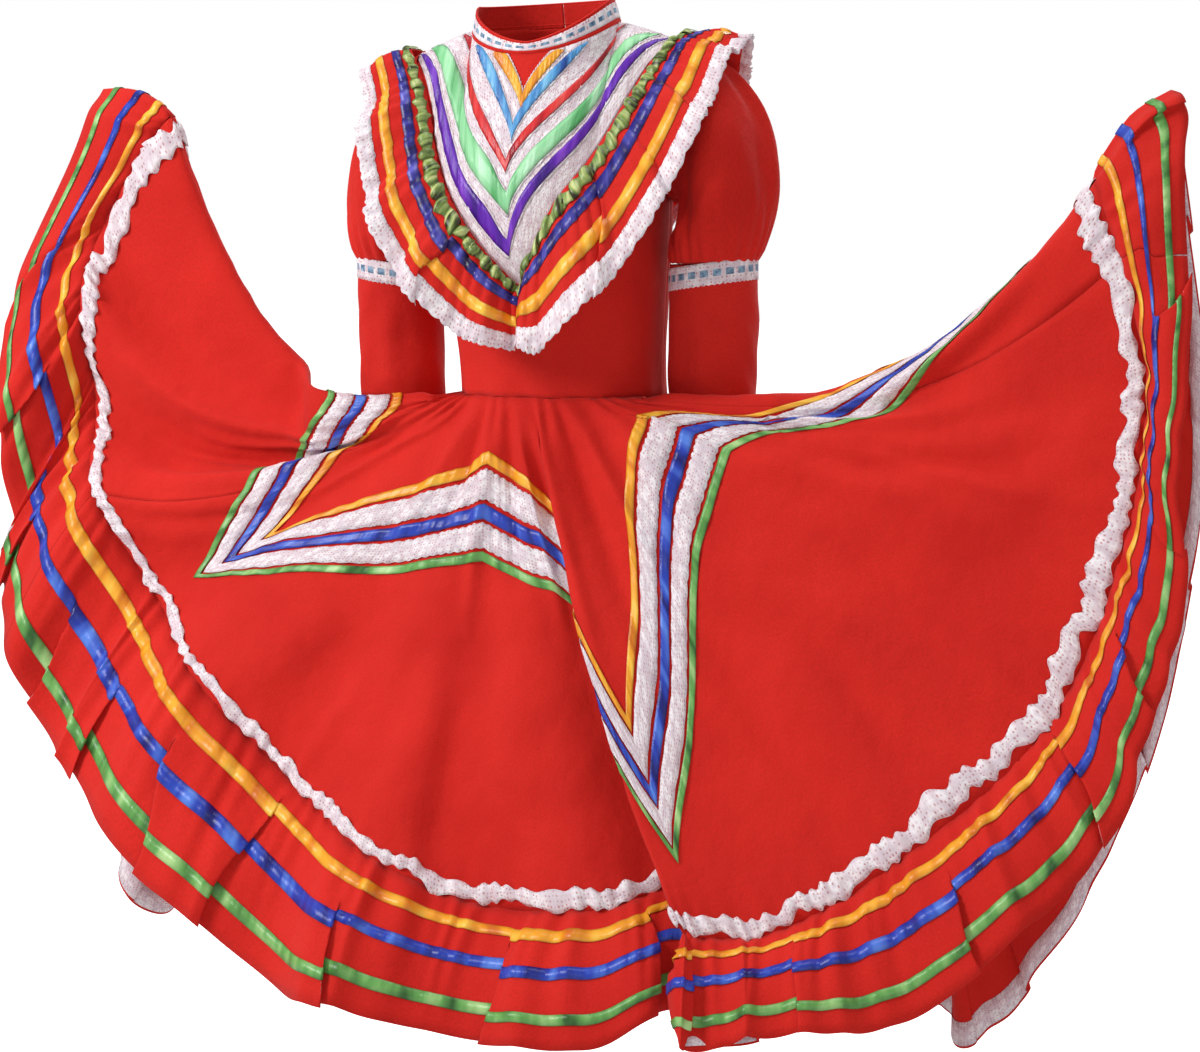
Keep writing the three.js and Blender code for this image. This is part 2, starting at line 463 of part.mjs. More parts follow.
// Soft folds that grow from the waist: where each crest lies, how wide it is and how far it stands out.
const FRONT_FOLDS = [
  { angle: 23, half: 12, depth: -14 },
  { angle: 45, half: 12, depth: 16 },
  { angle: 62, half: 11, depth: -10 },
  { angle: 124, half: 9, depth: -16 },
  { angle: 135, half: 8, depth: 14 },
  { angle: 146, half: 9, depth: -16 },
  { angle: 158, half: 9, depth: 14 },
  { angle: 169, half: 9, depth: -18 },
  { angle: 180, half: 9, depth: 18 },
  { angle: 191, half: 9, depth: -20 },
  { angle: 203, half: 9, depth: 20 },
  { angle: 214, half: 9, depth: -20 },
  { angle: 225, half: 9, depth: 12 },
];
const BACK_FOLDS = { from: 281.25, to: 483.75, pitch: 22.5, depth: 34 };

const waistAzimuth = (angle) => rad(((angle - CENTRE_FRONT) / SWEEP) * 360);
function waistPoint(angle) {
  const a = waistAzimuth(angle);
  return vec(-WAIST.halfWidth * Math.sin(a), -WAIST.halfDepth * Math.cos(a), WAIST.z);
}
const ribValue = (angle, column) => through(RIBS, "angle", column, angle, SWEEP);
const seamPoint = (angle) => vec(ribValue(angle, "x"), ribValue(angle, "y"), ribValue(angle, "z"));
const hemPoint = (angle) => vec(ribValue(angle, "hemX"), ribValue(angle, "hemY"), ribValue(angle, "hemZ"));

// How far the cloth stands out of the ribs' surface at the flounce seam.
function foldHeight(angle) {
  const at = ((angle % SWEEP) + SWEEP) % SWEEP;
  let height = 0;
  for (const fold of FRONT_FOLDS) {
    const off = Math.abs(at - fold.angle);
    if (off < fold.half) height += fold.depth * Math.cos((off / fold.half) * (Math.PI / 2)) ** 2;
  }
  const { from, to, pitch, depth } = BACK_FOLDS;
  if (at > from && at < to) {
    const ends = Math.min(1, (at - from) / 20, (to - at) / 20);
    const size = depth * (1 + 0.22 * Math.sin(at * 0.31)) * ends;
    height += size * Math.cos((2 * Math.PI * (at - from)) / pitch + 0.4 * Math.sin(at * 0.11));
  }
  return height;
}

// The skirt's crest passes in front of each sleeve, and the cloth behind the crest dips below its cuff.
function clearOfSleeves(p, angle, s) {
  const arm = p.x > 0 ? ARMS.left : ARMS.right;
  const past = (((arm.side * (arm.crest - angle) + SWEEP / 2) % SWEEP) + SWEEP) % SWEEP;
  const behind = past - SWEEP / 2;
  const near = (1 - smooth(Math.abs(Math.abs(p.x) - arm.cuffX), 80, 150)) * smooth(s, 0, 24);
  const ahead = near * (1 - smooth(behind, 8, 14)) * smooth(p.z, -490, -440);
  const under = near * smooth(behind, 3, 7) * (1 - smooth(p.y, 60, 100));
  const crest = near * (1 - smooth(Math.abs(behind), 2, 16));
  const inFront = arm.cuffY - CUFF.halfDepth - 18 + lerp(-14, 6, smooth(behind, -8, 9));
  p.y = lerp(p.y, Math.min(p.y, inFront), ahead);
  p.z += 10 * crest * smooth(s, 20, 60);
  p.z = lerp(p.z, Math.min(p.z, CUFF.z - 28), under);
  return p;
}

// A point of the skirt: flat angle in degrees, and distance from the waist along the cloth.
function skirtPoint(angle, s) {
  const t = s / SKIRT_LENGTH;
  const waist = waistPoint(angle);
  const seam = seamPoint(angle);
  const p = waist.clone().lerp(seam, t);
  p.z -= ribValue(angle, "sag") * 4 * t * (1 - t) * (0.75 + 0.5 * t);
  p.x += ribValue(angle, "sway") * 4 * t * (1 - t);
  const ahead = seamPoint(angle + 2).sub(seamPoint(angle - 2));
  const out = seam.clone().sub(waist).cross(ahead).normalize();
  p.addScaledVector(out, foldHeight(angle) * smooth(t, 0.02, 1.08) * 1.04);
  return clearOfSleeves(p, angle, s);
}

// The star: each edge is a straight line in the flat cut, from a notch near the waist to a tip near the hem.
function starEdge(angle, share) {
  const pitch = SWEEP / STAR.tips;
  const offTip = Math.abs(((((angle + pitch / 2) % pitch) + pitch) % pitch) - pitch / 2);
  const notch = FLAT_RADIUS + lerp(STAR.notchIn, STAR.notchOut, share);
  const tip = FLAT_RADIUS + lerp(STAR.tipIn, STAR.tipOut, share);
  const half = rad(pitch / 2);
  const reach = notch * Math.sin(half - rad(offTip)) + tip * Math.sin(rad(offTip));
  return (notch * tip * Math.sin(half)) / reach - FLAT_RADIUS;
}

// Rows of the skirt: waist, two above the star, the star's two edges, one below it, the flounce seam.
const STAR_ROW = 3;
const ROW_DISTANCE = [
  () => 0,
  (angle) => 0.14 * starEdge(angle, 0),
  (angle) => 0.5 * starEdge(angle, 0),
  (angle) => starEdge(angle, 0),
  (angle) => starEdge(angle, 1),
  (angle) => lerp(starEdge(angle, 1), SKIRT_LENGTH, 0.55),
  () => SKIRT_LENGTH,
];
const angles = steps(SWEEP, 0, COLUMNS).slice(0, -1);
const rowNumbers = ROW_DISTANCE.map((_, row) => row);
const skirt = new Sheet((angle, row) => skirtPoint(angle, ROW_DISTANCE[row](angle)), angles, rowNumbers, true);
skirt.points[0].forEach((p, i) => (p.z -= CLOTH * Math.max(0, skirt.normals[0][i].z)));

const HALF_CIRCLES = ["front", "back_left", "back_right"];
const spanOf = (k, perColumn) => [SEAM_COLUMNS[k] * perColumn, (SEAM_COLUMNS[k] + COLUMNS / 3) * perColumn];
HALF_CIRCLES.forEach((name, k) => sew(`skirt_${name}`, skirt.wall({ columns: spanOf(k, 1) }), "red"));

// The star's strips leave out the cloth that is folded away behind the centre fold.
const STAR_COLUMNS = [79, 79 + 93];
const STAR_STRIPS = [
  { name: "star_ribbon_yellow", from: 0, to: 0.13, colour: "yellow" },
  { name: "star_lace_inner", from: 0.18, to: 0.45, colour: "white" },
  { name: "star_ribbon_blue", from: 0.49, to: 0.63, colour: "blue" },
  { name: "star_lace_outer", from: 0.67, to: 0.88, colour: "white" },
  { name: "star_ribbon_green", from: 0.91, to: 1, colour: "green" },
];
for (const { name, from, to, colour } of STAR_STRIPS) {
  const rows = [STAR_ROW + from, STAR_ROW + to];
  sew(name, skirt.wall({ rows, columns: STAR_COLUMNS, ...onPanel }), colour, 0.5);
}
// Ruched lace that heads the flounce; it stands a little proud in alternate places.
const ruche = (j, i) => (i % 2 ? 2 : 0.6);
sew("flounce_head_lace", skirt.wall({ rows: [5.84, 5.985], ...onPanel, raise: ruche }), "white", 0.9);

// ---------------------------------------------------------------- flounce

function flouncePoint(k, t) {
  const angle = SWEEP * (1 - k / (COLUMNS * FLOUNCE.perColumn));
  const column = Math.floor(k / FLOUNCE.perColumn);
  const share = k / FLOUNCE.perColumn - column;
  const between = (row) => skirt.at(row, column).clone().lerp(skirt.at(row, column + 1), share);
  const head = between(6);
  const along = head.clone().sub(between(5)).normalize();
  const fold = head.clone().sub(seamPoint(angle));
  const hem = hemPoint(angle).addScaledVector(fold, 1.12);
  const p = head.clone().addScaledVector(along, FLOUNCE.gap).lerp(hem, t);
  const side = skirt.at(6, column + 1).clone().sub(skirt.at(6, column));
  const out = hem.clone().sub(head).cross(side).normalize();
  const uneven = 1 + 0.3 * Math.sin(angle * 0.37) + 0.2 * Math.sin(angle * 1.13);
  const wave = Math.cos(((k % FLOUNCE.perColumn) / FLOUNCE.perColumn) * 2 * Math.PI);
  const gather = lerp(0, FLOUNCE.hemGather * uneven, t ** 0.8) * wave;
  return p.addScaledVector(out, FLOUNCE.belly * Math.sin(Math.PI * t) + gather);
}
const flounceStations = Array.from({ length: COLUMNS * FLOUNCE.perColumn }, (_, k) => k);
const flounce = new Sheet(flouncePoint, flounceStations, [0, 0.42, 1], true);
// Along the seam the flounce's wall stands in line with the skirt's.
flounce.normals[0].forEach((normal, k) => {
  const column = Math.floor(k / FLOUNCE.perColumn);
  const next = skirt.normals[6][(column + 1) % COLUMNS];
  normal.copy(skirt.normals[6][column]).lerp(next, (k % FLOUNCE.perColumn) / FLOUNCE.perColumn);
});
HALF_CIRCLES.forEach((name, k) => {
  sew(`flounce_${name}`, flounce.wall({ columns: spanOf(k, FLOUNCE.perColumn) }), "red");
});

export default dress;
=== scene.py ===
"""A Jalisco folklorico dress, worn and spread: bodice with a V yoke of lace and ribbon, ruffle,
puffed sleeves, a circle-and-a-half skirt with a star of ribbon and lace, and a gathered flounce with
three rows of ribbon. Sizes are millimetres in the tables and metres in Blender; +X is the wearer's left
and -Y the front."""
import math

import bpy
import numpy as np
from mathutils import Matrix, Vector


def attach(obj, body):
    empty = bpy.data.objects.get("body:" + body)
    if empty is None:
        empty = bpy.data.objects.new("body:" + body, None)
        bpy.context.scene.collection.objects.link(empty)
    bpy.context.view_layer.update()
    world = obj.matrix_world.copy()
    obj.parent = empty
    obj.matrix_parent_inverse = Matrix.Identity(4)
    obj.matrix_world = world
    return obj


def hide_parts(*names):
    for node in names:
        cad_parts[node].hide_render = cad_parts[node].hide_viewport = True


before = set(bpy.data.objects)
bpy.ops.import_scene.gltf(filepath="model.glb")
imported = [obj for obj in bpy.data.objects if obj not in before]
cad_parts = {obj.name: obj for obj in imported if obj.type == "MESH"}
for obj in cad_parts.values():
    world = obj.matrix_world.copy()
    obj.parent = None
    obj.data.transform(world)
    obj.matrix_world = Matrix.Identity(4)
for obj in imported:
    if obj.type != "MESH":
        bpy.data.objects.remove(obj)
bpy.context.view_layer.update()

# ---------------------------------------------------------------- bodice
# A fitted front and two backs of red cotton poplin that meet edge to edge at centre back. Shoulders and
# sides are sewn; the front is shaped at the bust. Each piece is a surface in u, round from the centre
# (0) to the side (1), and v, up from the waist (0) by the underarm (1) to the neck and shoulder (2).
# face is -1 in front.


def smooth(x, low, high):
    """0 below low, 1 above high, with a soft S between."""
    t = np.clip((x - low) / (high - low), 0, 1)
    return t * t * (3 - 2 * t)


def lerp(a, b, t):
    return a + (b - a) * t


def curve(start, leave, reach, end, t):
    """A cubic curve from start to end; leave and reach are its two handles."""
    return start * (1 - t) ** 3 + leave * 3 * t * (1 - t) ** 2 + reach * 3 * t**2 * (1 - t) + end * t**3


def unit(v):
    return v / np.maximum(np.linalg.norm(v, axis=-1, keepdims=True), 1e-9)


def raised(points, lift, closed=False):
    """The grid moved out along its own normals."""
    down = np.gradient(points, axis=0)
    wide = np.concatenate([points[:, -1:], points, points[:, :1]], 1) if closed else points
    right = np.gradient(wide, axis=1)
    if closed:
        right = right[:, 1:-1]
    return points + unit(np.cross(down, right)) * (lift[..., None] if np.ndim(lift) else lift)


cloth = {}


def sewn(name, points, material, wall=0.8, closed=False, uv=None, replaces=()):
    """A piece of cloth from a grid of points in millimetres."""
    rows, columns = points.shape[:2]
    spans = columns if closed else columns - 1
    j, i = np.meshgrid(np.arange(rows - 1), np.arange(spans), indexing="ij")
    nxt = (i + 1) % columns
    above, below = j * columns, (j + 1) * columns
    corners = np.stack([above + i, below + i, below + nxt, above + nxt], -1)
    mesh = bpy.data.meshes.new(name)
    mesh.from_pydata((points.reshape(-1, 3) / 1000).tolist(), [], corners.reshape(-1, 4).tolist())
    ring = np.concatenate([points, points[:, :1]], 1)
    if uv is None:
        along = np.linalg.norm(np.diff(ring[rows // 2], axis=0), axis=-1)
        across = np.linalg.norm(np.diff(points[:, columns // 2], axis=0), axis=-1)
        u = np.concatenate([[0], np.cumsum(along)]) / 1000
        v = np.concatenate([[0], np.cumsum(across)]) / 1000
        uv = np.stack(np.broadcast_arrays(u[None, :], v[:, None]), -1)
    share = np.broadcast_to(np.linspace(0, 1, rows)[:, None], uv.shape[:2])
    for layer, table in (("UVMap", uv), ("Across", np.stack([uv[..., 0], share], -1))):
        loops = np.stack([table[j, i], table[j + 1, i], table[j + 1, i + 1], table[j, i + 1]], -2)
        mesh.uv_layers.new(name=layer).uv.foreach_set("vector", loops.astype(np.float32).ravel())
    mesh.shade_smooth()
    mesh.materials.append(material)
    piece = bpy.data.objects.new(name + "_cloth", mesh)
    bpy.context.scene.collection.objects.link(piece)
    if wall:
        shell = piece.modifiers.new("wall", "SOLIDIFY")
        shell.thickness = wall / 1000
        shell.offset = -1
    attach(piece, "root")
    if replaces:
        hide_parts(*replaces)
    cloth[name] = piece
    return piece


def ripple(x, y, size, seed, waves=9):
    """Uneven soft waves of about that size, from -1 to 1, over flat coordinates."""
    rng = np.random.default_rng(seed)
    total = 0
    for k in range(waves):
        turn, phase, scale = rng.uniform(0, 2 * math.pi), rng.uniform(0, 6.3), size * rng.uniform(0.7, 1.6)
        bend = 0.9 * np.sin((x * math.sin(turn * 3) + y * math.cos(turn * 2)) / (size * 1.7) + phase)
        ahead = (x * math.cos(turn) + y * math.sin(turn)) * 2 * math.pi / scale
        total = total + np.sin(ahead + phase + bend)
    return total / waves * 1.6


def srgb(r, g, b):
    """A colour from its screen values, 0 to 255."""

    def channel(c):
        c /= 255
        return c / 12.92 if c <= 0.04045 else ((c + 0.055) / 1.055) ** 2.4

    return (channel(r), channel(g), channel(b), 1)


def node(tree, kind, sockets, output=0, **settings):
    made = tree.nodes.new("ShaderNode" + kind)
    for key, value in settings.items():
        setattr(made, key, value)
    for key, value in sockets.items():
        if isinstance(value, bpy.types.NodeSocket):
            tree.links.new(value, made.inputs[key])
        else:
            made.inputs[key].default_value = value
    return made.outputs[output]


def blank(name, roughness, sheen, specular=0.4):
    made = bpy.data.materials.new(name)
    made.use_nodes = True
    shader = made.node_tree.nodes["Principled BSDF"]
    shader.inputs["Roughness"].default_value = roughness
    shader.inputs["Sheen Weight"].default_value = sheen
    shader.inputs["Sheen Roughness"].default_value = 0.5
    shader.inputs["Specular IOR Level"].default_value = specular
    return made, made.node_tree, shader


def math_node(tree, operation, a, b=0.0, c=0.0):
    return node(tree, "Math", {0: a, 1: b, 2: c}, operation=operation)


def ramp(tree, fac, stops):
    made = tree.nodes.new("ShaderNodeValToRGB")
    tree.links.new(fac, made.inputs[0])
    while len(made.color_ramp.elements) < len(stops):
        made.color_ramp.elements.new(1)
    for element, (place, colour) in zip(made.color_ramp.elements, stops):
        element.position = place
        element.color = colour
    return made.outputs[0]


def poplin():
    """Matt red cotton: warp and weft, slubs, and a slow change of shade over the cloth."""
    made, tree, shader = blank("red_poplin", 0.8, 0.04, 0.18)
    flat = node(tree, "UVMap", {}, uv_map="UVMap")
    place = node(tree, "TexCoord", {}, "Object")
    slow = node(tree, "TexNoise", {"Vector": place, "Scale": 7.0, "Detail": 3.0})
    slub = node(tree, "TexNoise", {"Vector": flat, "Scale": 420.0, "Detail": 2.0})
    shade = ramp(tree, slow, [(0.3, srgb(206, 30, 22)), (0.7, srgb(224, 40, 30))])
    thread = ramp(tree, slub, [(0.3, (0.86, 0.84, 0.84, 1)), (0.7, (1, 1, 1, 1))])
    colour = node(tree, "MixRGB", {"Fac": 1.0, "Color1": shade, "Color2": thread}, blend_type="MULTIPLY")
    tree.links.new(colour, shader.inputs["Base Color"])
    warp = node(tree, "TexWave", {"Vector": flat, "Scale": 390.0, "Distortion": 0.4}, bands_direction="X")
    weft = node(tree, "TexWave", {"Vector": flat, "Scale": 390.0, "Distortion": 0.4}, bands_direction="Y")
    weave = math_node(tree, "ADD", warp, weft)
    fuzz = math_node(tree, "ADD", weave, slub)
    soft = node(tree, "TexNoise", {"Vector": place, "Scale": 55.0, "Detail": 4.0})
    fine = node(tree, "Bump", {"Height": fuzz, "Strength": 0.35, "Distance": 0.0002})
    crumple = node(tree, "Bump", {"Height": soft, "Strength": 0.3, "Distance": 0.006, "Normal": fine})
    tree.links.new(crumple, shader.inputs["Normal"])
    return made


red = poplin()

WAIST_X, WAIST_Y, WAIST_Z, CHEST_Z = 120, 95, -410, -190
NECK_U = 0.4


def leaning(p):
    share = np.clip((p[..., 2] - WAIST_Z) / -WAIST_Z, 0, 1.1)
    return np.stack([p[..., 0] - 20 * share, p[..., 1], p[..., 2] + 0.035 * share * p[..., 0]], -1)


def bodice_top(face, u):
    size, sign = np.abs(u), np.sign(u)
    turn = np.minimum(size / NECK_U, 1) * math.pi / 2
    cosine = np.clip(np.cos(turn), 0, 1)
    neck_z = lerp(10, -24 if face < 0 else 14, cosine**1.4)
    neck = np.stack([sign * 86 * np.sin(turn), face * (72 if face < 0 else 62) * cosine, neck_z], -1)
    t = np.clip((size - NECK_U) / (1 - NECK_U), 0, 1)
    shoulder = np.stack([sign * lerp(86, 156, t), face * 0.3 + 0 * t, lerp(10, -14, t**1.2)], -1)
    return np.where((size <= NECK_U)[..., None], neck, shoulder)


def bodice(face, u, v):
    u, v = np.broadcast_arrays(np.asarray(u, float), np.asarray(v, float))
    low_v = np.minimum(v, 1)
    turn = u * math.pi / 2
    swell = np.minimum(smooth(low_v, 0, 1.15) * 1.06, 1)
    wide, deep = lerp(WAIST_X, 138, swell), lerp(WAIST_Y, 126 if face < 0 else 102, swell)
    low_z = lerp(WAIST_Z + 0.35, CHEST_Z, low_v)
    low = np.stack([wide * np.sin(turn), face * deep * np.cos(turn), low_z], -1)
    top = bodice_top(face, u)
    sign, edge = np.sign(u), np.abs(u) ** 5
    on_neck = 1 - smooth(np.abs(u), 0.25, 0.6)
    rise = np.stack([-sign * 8 * edge, face * 34 * edge, lerp(62, 16, edge)], -1)
    fall = np.stack([0 * u, face * lerp(44, 10, on_neck), lerp(-16, -46, on_neck)], -1)
    t = np.clip(v - 1, 0, 1)[..., None]
    p = curve(low, low + rise, top + fall, top, t)
    open_ = np.sin(math.pi * t[..., 0]) * edge
    p[..., 0] -= sign * 5 * open_
    p[..., 1] += face * 44 * 0.42 * open_
    folds = 1.5 * ripple(u * 210, v * 200, 90, 3) * smooth(v, 0.02, 0.4) * (1 - smooth(np.abs(u), 0.8, 1))
    dart = np.exp(-(((np.abs(u) - 0.55 - 0.1 * v) / 0.07) ** 2)) * (v < 1.4)
    drag = 1.8 * np.sin(u * 19 + 2.2 * v) * np.exp(-v * 6) + 2.2 * dart
    p = leaning(p)
    outward = unit(p * np.array([1, 1, 0.0]) + np.array([20, 0, 0.0]) * (v[..., None] > 0))
    return p + outward * ((folds + drag) * (v < 1.75))[..., None] * 0.8


def height_v(z):
    return (z - WAIST_Z) / (CHEST_Z - WAIST_Z) if z < CHEST_Z else 1 + (z - CHEST_Z) / -CHEST_Z


YOKE_TIP_Z, YOKE_BACK_TIP_Z, YOKE_SIDE_Z = -286, -210, -13
YOKE_BOW, YOKE_RIGHT_BOW = 0.72, 1.25


def yoke_edge(face, u):
    """How high up the bodice the yoke ends."""
    bow = np.where((face < 0) & (np.asarray(u) < 0), YOKE_RIGHT_BOW, YOKE_BOW)
    tip_z = YOKE_TIP_Z if face < 0 else YOKE_BACK_TIP_Z
    return lerp(height_v(tip_z), height_v(YOKE_SIDE_Z), np.abs(u) ** bow)


BODICE = [  # name, face, from and to u
    ("bodice_front", -1, -1, 1),
    ("bodice_back_left", 1, 1, 0.0015),
    ("bodice_back_right", 1, -0.0015, -1),
]
for name, face, from_u, to_u in BODICE:
    us = np.linspace(from_u, to_u, 81 if face < 0 else 41)
    grid = bodice(face, us[None, :], np.linspace(2, 0, 61)[:, None])
    sewn(name, raised(grid, 1.3), red, replaces=[name])

# ---------------------------------------------------------------- yoke
# White lace over the upper bodice down to a V, with the red cloth bare inside the smallest V. Narrow
# satin ribbons edged with picots are sewn on it in nested Vs, small red triangles fill the corners
# between them, and a gathered lace frill covers the yoke's lower edge.


def satin(name, light, mid, painted_shade, sheen_scale=26.0):
    """Satin ribbon: painted highlight and painted shade in bright and dark patches along its length,
    standing in for its sheen, with fine cross ribs and a stitched selvedge.
    """
    made, tree, shader = blank(name, 0.34, 0.0, 0.45)
    flat = node(tree, "UVMap", {}, uv_map="UVMap")
    across = node(tree, "SeparateXYZ", {"Vector": node(tree, "UVMap", {}, uv_map="Across")}, "Y")
    # Painted sheen: a stretched noise lays the light stop as a painted highlight and the dark stop as a
    # painted shade along the ribbon.
    stretched = node(tree, "Mapping", {"Vector": flat, "Scale": (1.0, 0.25, 1.0)})
    sheen_noise = {"Vector": stretched, "Scale": sheen_scale, "Detail": 2.5, "Roughness": 0.55}
    painted_sheen_patches = node(tree, "TexNoise", sheen_noise)
    shade = ramp(tree, painted_sheen_patches, [(0.36, painted_shade), (0.5, mid), (0.66, light)])
    edge = math_node(tree, "ABSOLUTE", math_node(tree, "SUBTRACT", across, 0.5))
    selvedge = ramp(tree, edge, [(0.4, (1, 1, 1, 1)), (0.47, (0.72, 0.7, 0.7, 1))])
    colour = node(tree, "MixRGB", {"Fac": 1.0, "Color1": shade, "Color2": selvedge}, blend_type="MULTIPLY")
    tree.links.new(colour, shader.inputs["Base Color"])
    ribs = node(tree, "TexWave", {"Vector": flat, "Scale": 330.0, "Distortion": 0.6}, bands_direction="X")
    pucker = node(tree, "TexNoise", {"Vector": stretched, "Scale": 110.0, "Detail": 2.0})
    fine = node(tree, "Bump", {"Height": ribs, "Strength": 0.2, "Distance": 0.0002})
    wrinkle = node(tree, "Bump", {"Height": pucker, "Strength": 0.45, "Distance": 0.003, "Normal": fine})
    tree.links.new(wrinkle, shader.inputs["Normal"])
    return made


def lace(name, beading=None):
    """White lace with eyelets and a flower net. A beading lace has a light blue ribbon in its slots."""
    made, tree, shader = blank(name, 0.85, 0.0, 0.15)
    flat = node(tree, "UVMap", {}, uv_map="UVMap")
    net = node(tree, "TexVoronoi", {"Vector": flat, "Scale": 230.0, "Randomness": 0.35})
    flowers = node(tree, "TexVoronoi", {"Vector": flat, "Scale": 78.0, "Randomness": 0.6}, feature="F1")
    holes = ramp(tree, net, [(0.12, srgb(205, 150, 152)), (0.34, srgb(246, 240, 243))])
    petals = [(0.0, srgb(214, 206, 214)), (0.3, (1, 1, 1, 1)), (0.62, srgb(226, 214, 220))]
    rings = ramp(tree, flowers, petals)
    colour = node(tree, "MixRGB", {"Fac": 0.9, "Color1": holes, "Color2": rings}, blend_type="MULTIPLY")
    height = math_node(tree, "ADD", net, flowers)
    if beading:
        length = node(tree, "SeparateXYZ", {"Vector": flat}, "X")
        breadth = node(tree, "SeparateXYZ", {"Vector": node(tree, "UVMap", {}, uv_map="Across")}, "Y")
        beat = math_node(tree, "PINGPONG", length, beading)
        inside = math_node(tree, "LESS_THAN", beat, beading * 0.62)
        off = math_node(tree, "ABSOLUTE", math_node(tree, "SUBTRACT", breadth, 0.5))
        slot = math_node(tree, "MULTIPLY", inside, math_node(tree, "LESS_THAN", off, 0.16))
        blue = node(tree, "TexNoise", {"Vector": flat, "Scale": 160.0})
        ribbon = ramp(tree, blue, [(0.3, srgb(60, 92, 122)), (0.7, srgb(160, 190, 214))])
        colour = node(tree, "MixRGB", {"Fac": slot, "Color1": colour, "Color2": ribbon})
        height = math_node(tree, "ADD", height, slot)
    tree.links.new(colour, shader.inputs["Base Color"])
    bump = node(tree, "Bump", {"Height": height, "Strength": 0.6, "Distance": 0.0008})
    tree.links.new(bump, shader.inputs["Normal"])
    return made


white = lace("white_lace")
# Each satin gets three colours: a painted highlight, the ribbon's own colour and a painted shade.
yellow = satin("yellow_satin", srgb(255, 200, 70), srgb(246, 166, 38), srgb(214, 112, 20))
sky = satin("sky_satin", srgb(136, 200, 236), srgb(86, 158, 216), srgb(36, 76, 156))
scarlet = satin("scarlet_satin", srgb(238, 84, 78), srgb(214, 36, 40), srgb(150, 16, 34))
mint = satin("mint_satin", srgb(186, 236, 194), srgb(146, 216, 158), srgb(92, 176, 108))
purple = satin("purple_satin", srgb(138, 70, 206), srgb(98, 32, 172), srgb(60, 12, 126))

YOKE = [  # name, face, from and to u
    ("yoke_front", -1, -1, 1),
    ("yoke_back_left", 1, 1, 0.004),
    ("yoke_back_right", 1, -0.004, -1),
]
for name, face, from_u, to_u in YOKE:
    us = np.linspace(from_u, to_u, 121 if face < 0 else 41)[None, :]
    bare = np.clip(1 - (np.abs(us) / 0.13) ** 0.8, 0, 1) if face < 0 else 0 * us
    top = 2 - (2 - height_v(-66)) * bare
    share = np.linspace(0, 1, 25)[:, None]
    grid = bodice(face, us, lerp(top, yoke_edge(face, us) - 0.02, share))
    sewn(name, raised(grid, 1.9), white, wall=0.4, replaces=[name])

V_RIBBONS = [
    # colour, tip's u, bow of the right arm, tip's height, u at the top edge, breadth, material, slot
    ("yellow", 0.0, 0.72, -82, 0.13, 23, yellow, "yellow_satin"),
    ("sky", -0.03, 0.78, -120, 0.22, 21, sky, "sky_satin"),
    ("red", -0.055, 0.9, -157, 0.5, 15, scarlet, "red_satin"),
    ("mint", -0.05, 1.05, -204, 0.84, 26, mint, "mint_satin"),
    ("purple", -0.07, 1.15, -250, 0.95, 19, purple, "purple_satin"),
]


def on_yoke(tip_u, bow, tip_z, end_u, breadth, u, across, more=0.0):
    """A ribbon's point: u runs along the arms and across from its lower edge (0) to its upper edge (1)."""
    t = (np.abs(u) / end_u) ** np.where(u < 0, bow, YOKE_BOW)
    steep = 1 + smooth(np.abs(u), 0, 0.12) * np.where(u < 0, 0.75, 0.12)
    rise = (height_v(tip_z + breadth) - height_v(tip_z)) * (1 - t**6) * steep
    v = lerp(height_v(tip_z), 1.97, t) + rise * across + more
    return bodice(-1, u + tip_u * np.where(u > 0, 1 - t, 1 - 0.4 * t), np.minimum(v, 1.997))


picot = 2 * math.pi * np.linspace(0, 1, 401)[None, :]
for colour, *course, material, slot in V_RIBBONS:
    end_u = course[3]
    us = (np.sin(np.linspace(-math.pi / 2, math.pi / 2, 141)) * end_u)[None, :]
    pucker = 0.35 * np.sin(us / end_u * 60) + 0.25 * np.sin(us / end_u * 137)
    grid = on_yoke(*course, us, np.linspace(1, 0, 4)[:, None])
    name = f"yoke_ribbon_{colour}"
    sewn(name, raised(grid, 3.0 + pucker), material, wall=0.4, replaces=[name])
    # A picot edge of lace stands along each side of the ribbon.
    us = (np.sin(np.linspace(-math.pi / 2, math.pi / 2, 401)) * end_u)[None, :]
    loops = (0.45 + 0.55 * np.abs(np.sin(picot * 30))) * 5.0 / 190
    for side, place, rows in (("upper", 1, (loops, -0.01)), ("lower", 0, (0.01, -loops))):
        more = np.concatenate([row + 0 * us for row in rows])
        grid = raised(on_yoke(*course, us, place, more), 2.5)
        sewn(f"yoke_picot_{colour}_{side}", grid, white, wall=0.3)

# Outside the last ribbon a gathered lace frill lies over the yoke's edge.
us = np.linspace(1, -1, 501)[None, :]
share = np.linspace(0, 1, 5)[:, None]
frill_v = yoke_edge(-1, us) + lerp(0.085, -0.035, share) - 0.012 * share * np.abs(np.sin(us * 75))
frill_lift = 3.2 + 1.6 * share * np.sin(us * 118 + 2 * np.sin(us * 31)) + 0.8 * np.sin(us * 61)
frill = raised(bodice(-1, us, np.minimum(frill_v, 1.995)), frill_lift)
sewn("yoke_frill", frill, white, wall=0.3)

TRIANGLES = [  # height of the top and of the tip, half breadth in u, u of the tip
    (-84, -98, 0.052, -0.012),
    (-121, -139, 0.06, -0.035),
    (-160, -178, 0.06, -0.05),
]
for k, (high, low, half, tip_u) in enumerate(TRIANGLES):
    us = np.linspace(-half, half, 21)[None, :]
    bottom = lerp(height_v(low), height_v(high) - 0.01, np.abs(us) / half)
    grid = bodice(-1, -us + tip_u, lerp(height_v(high), bottom, np.linspace(0, 1, 6)[:, None]))
    sewn(f"yoke_triangle_{k}", raised(grid, 2.6), scarlet, wall=0.3)

# ---------------------------------------------------------------- collar
# A low standing collar of red poplin, higher at the sides than in front. A beading lace, with a light
# blue ribbon threaded through its slots, is sewn between its rolled red edges. turn is 0 at centre back
# and goes round by the wearer's left.

slotted = lace("beading_lace", 0.0075)


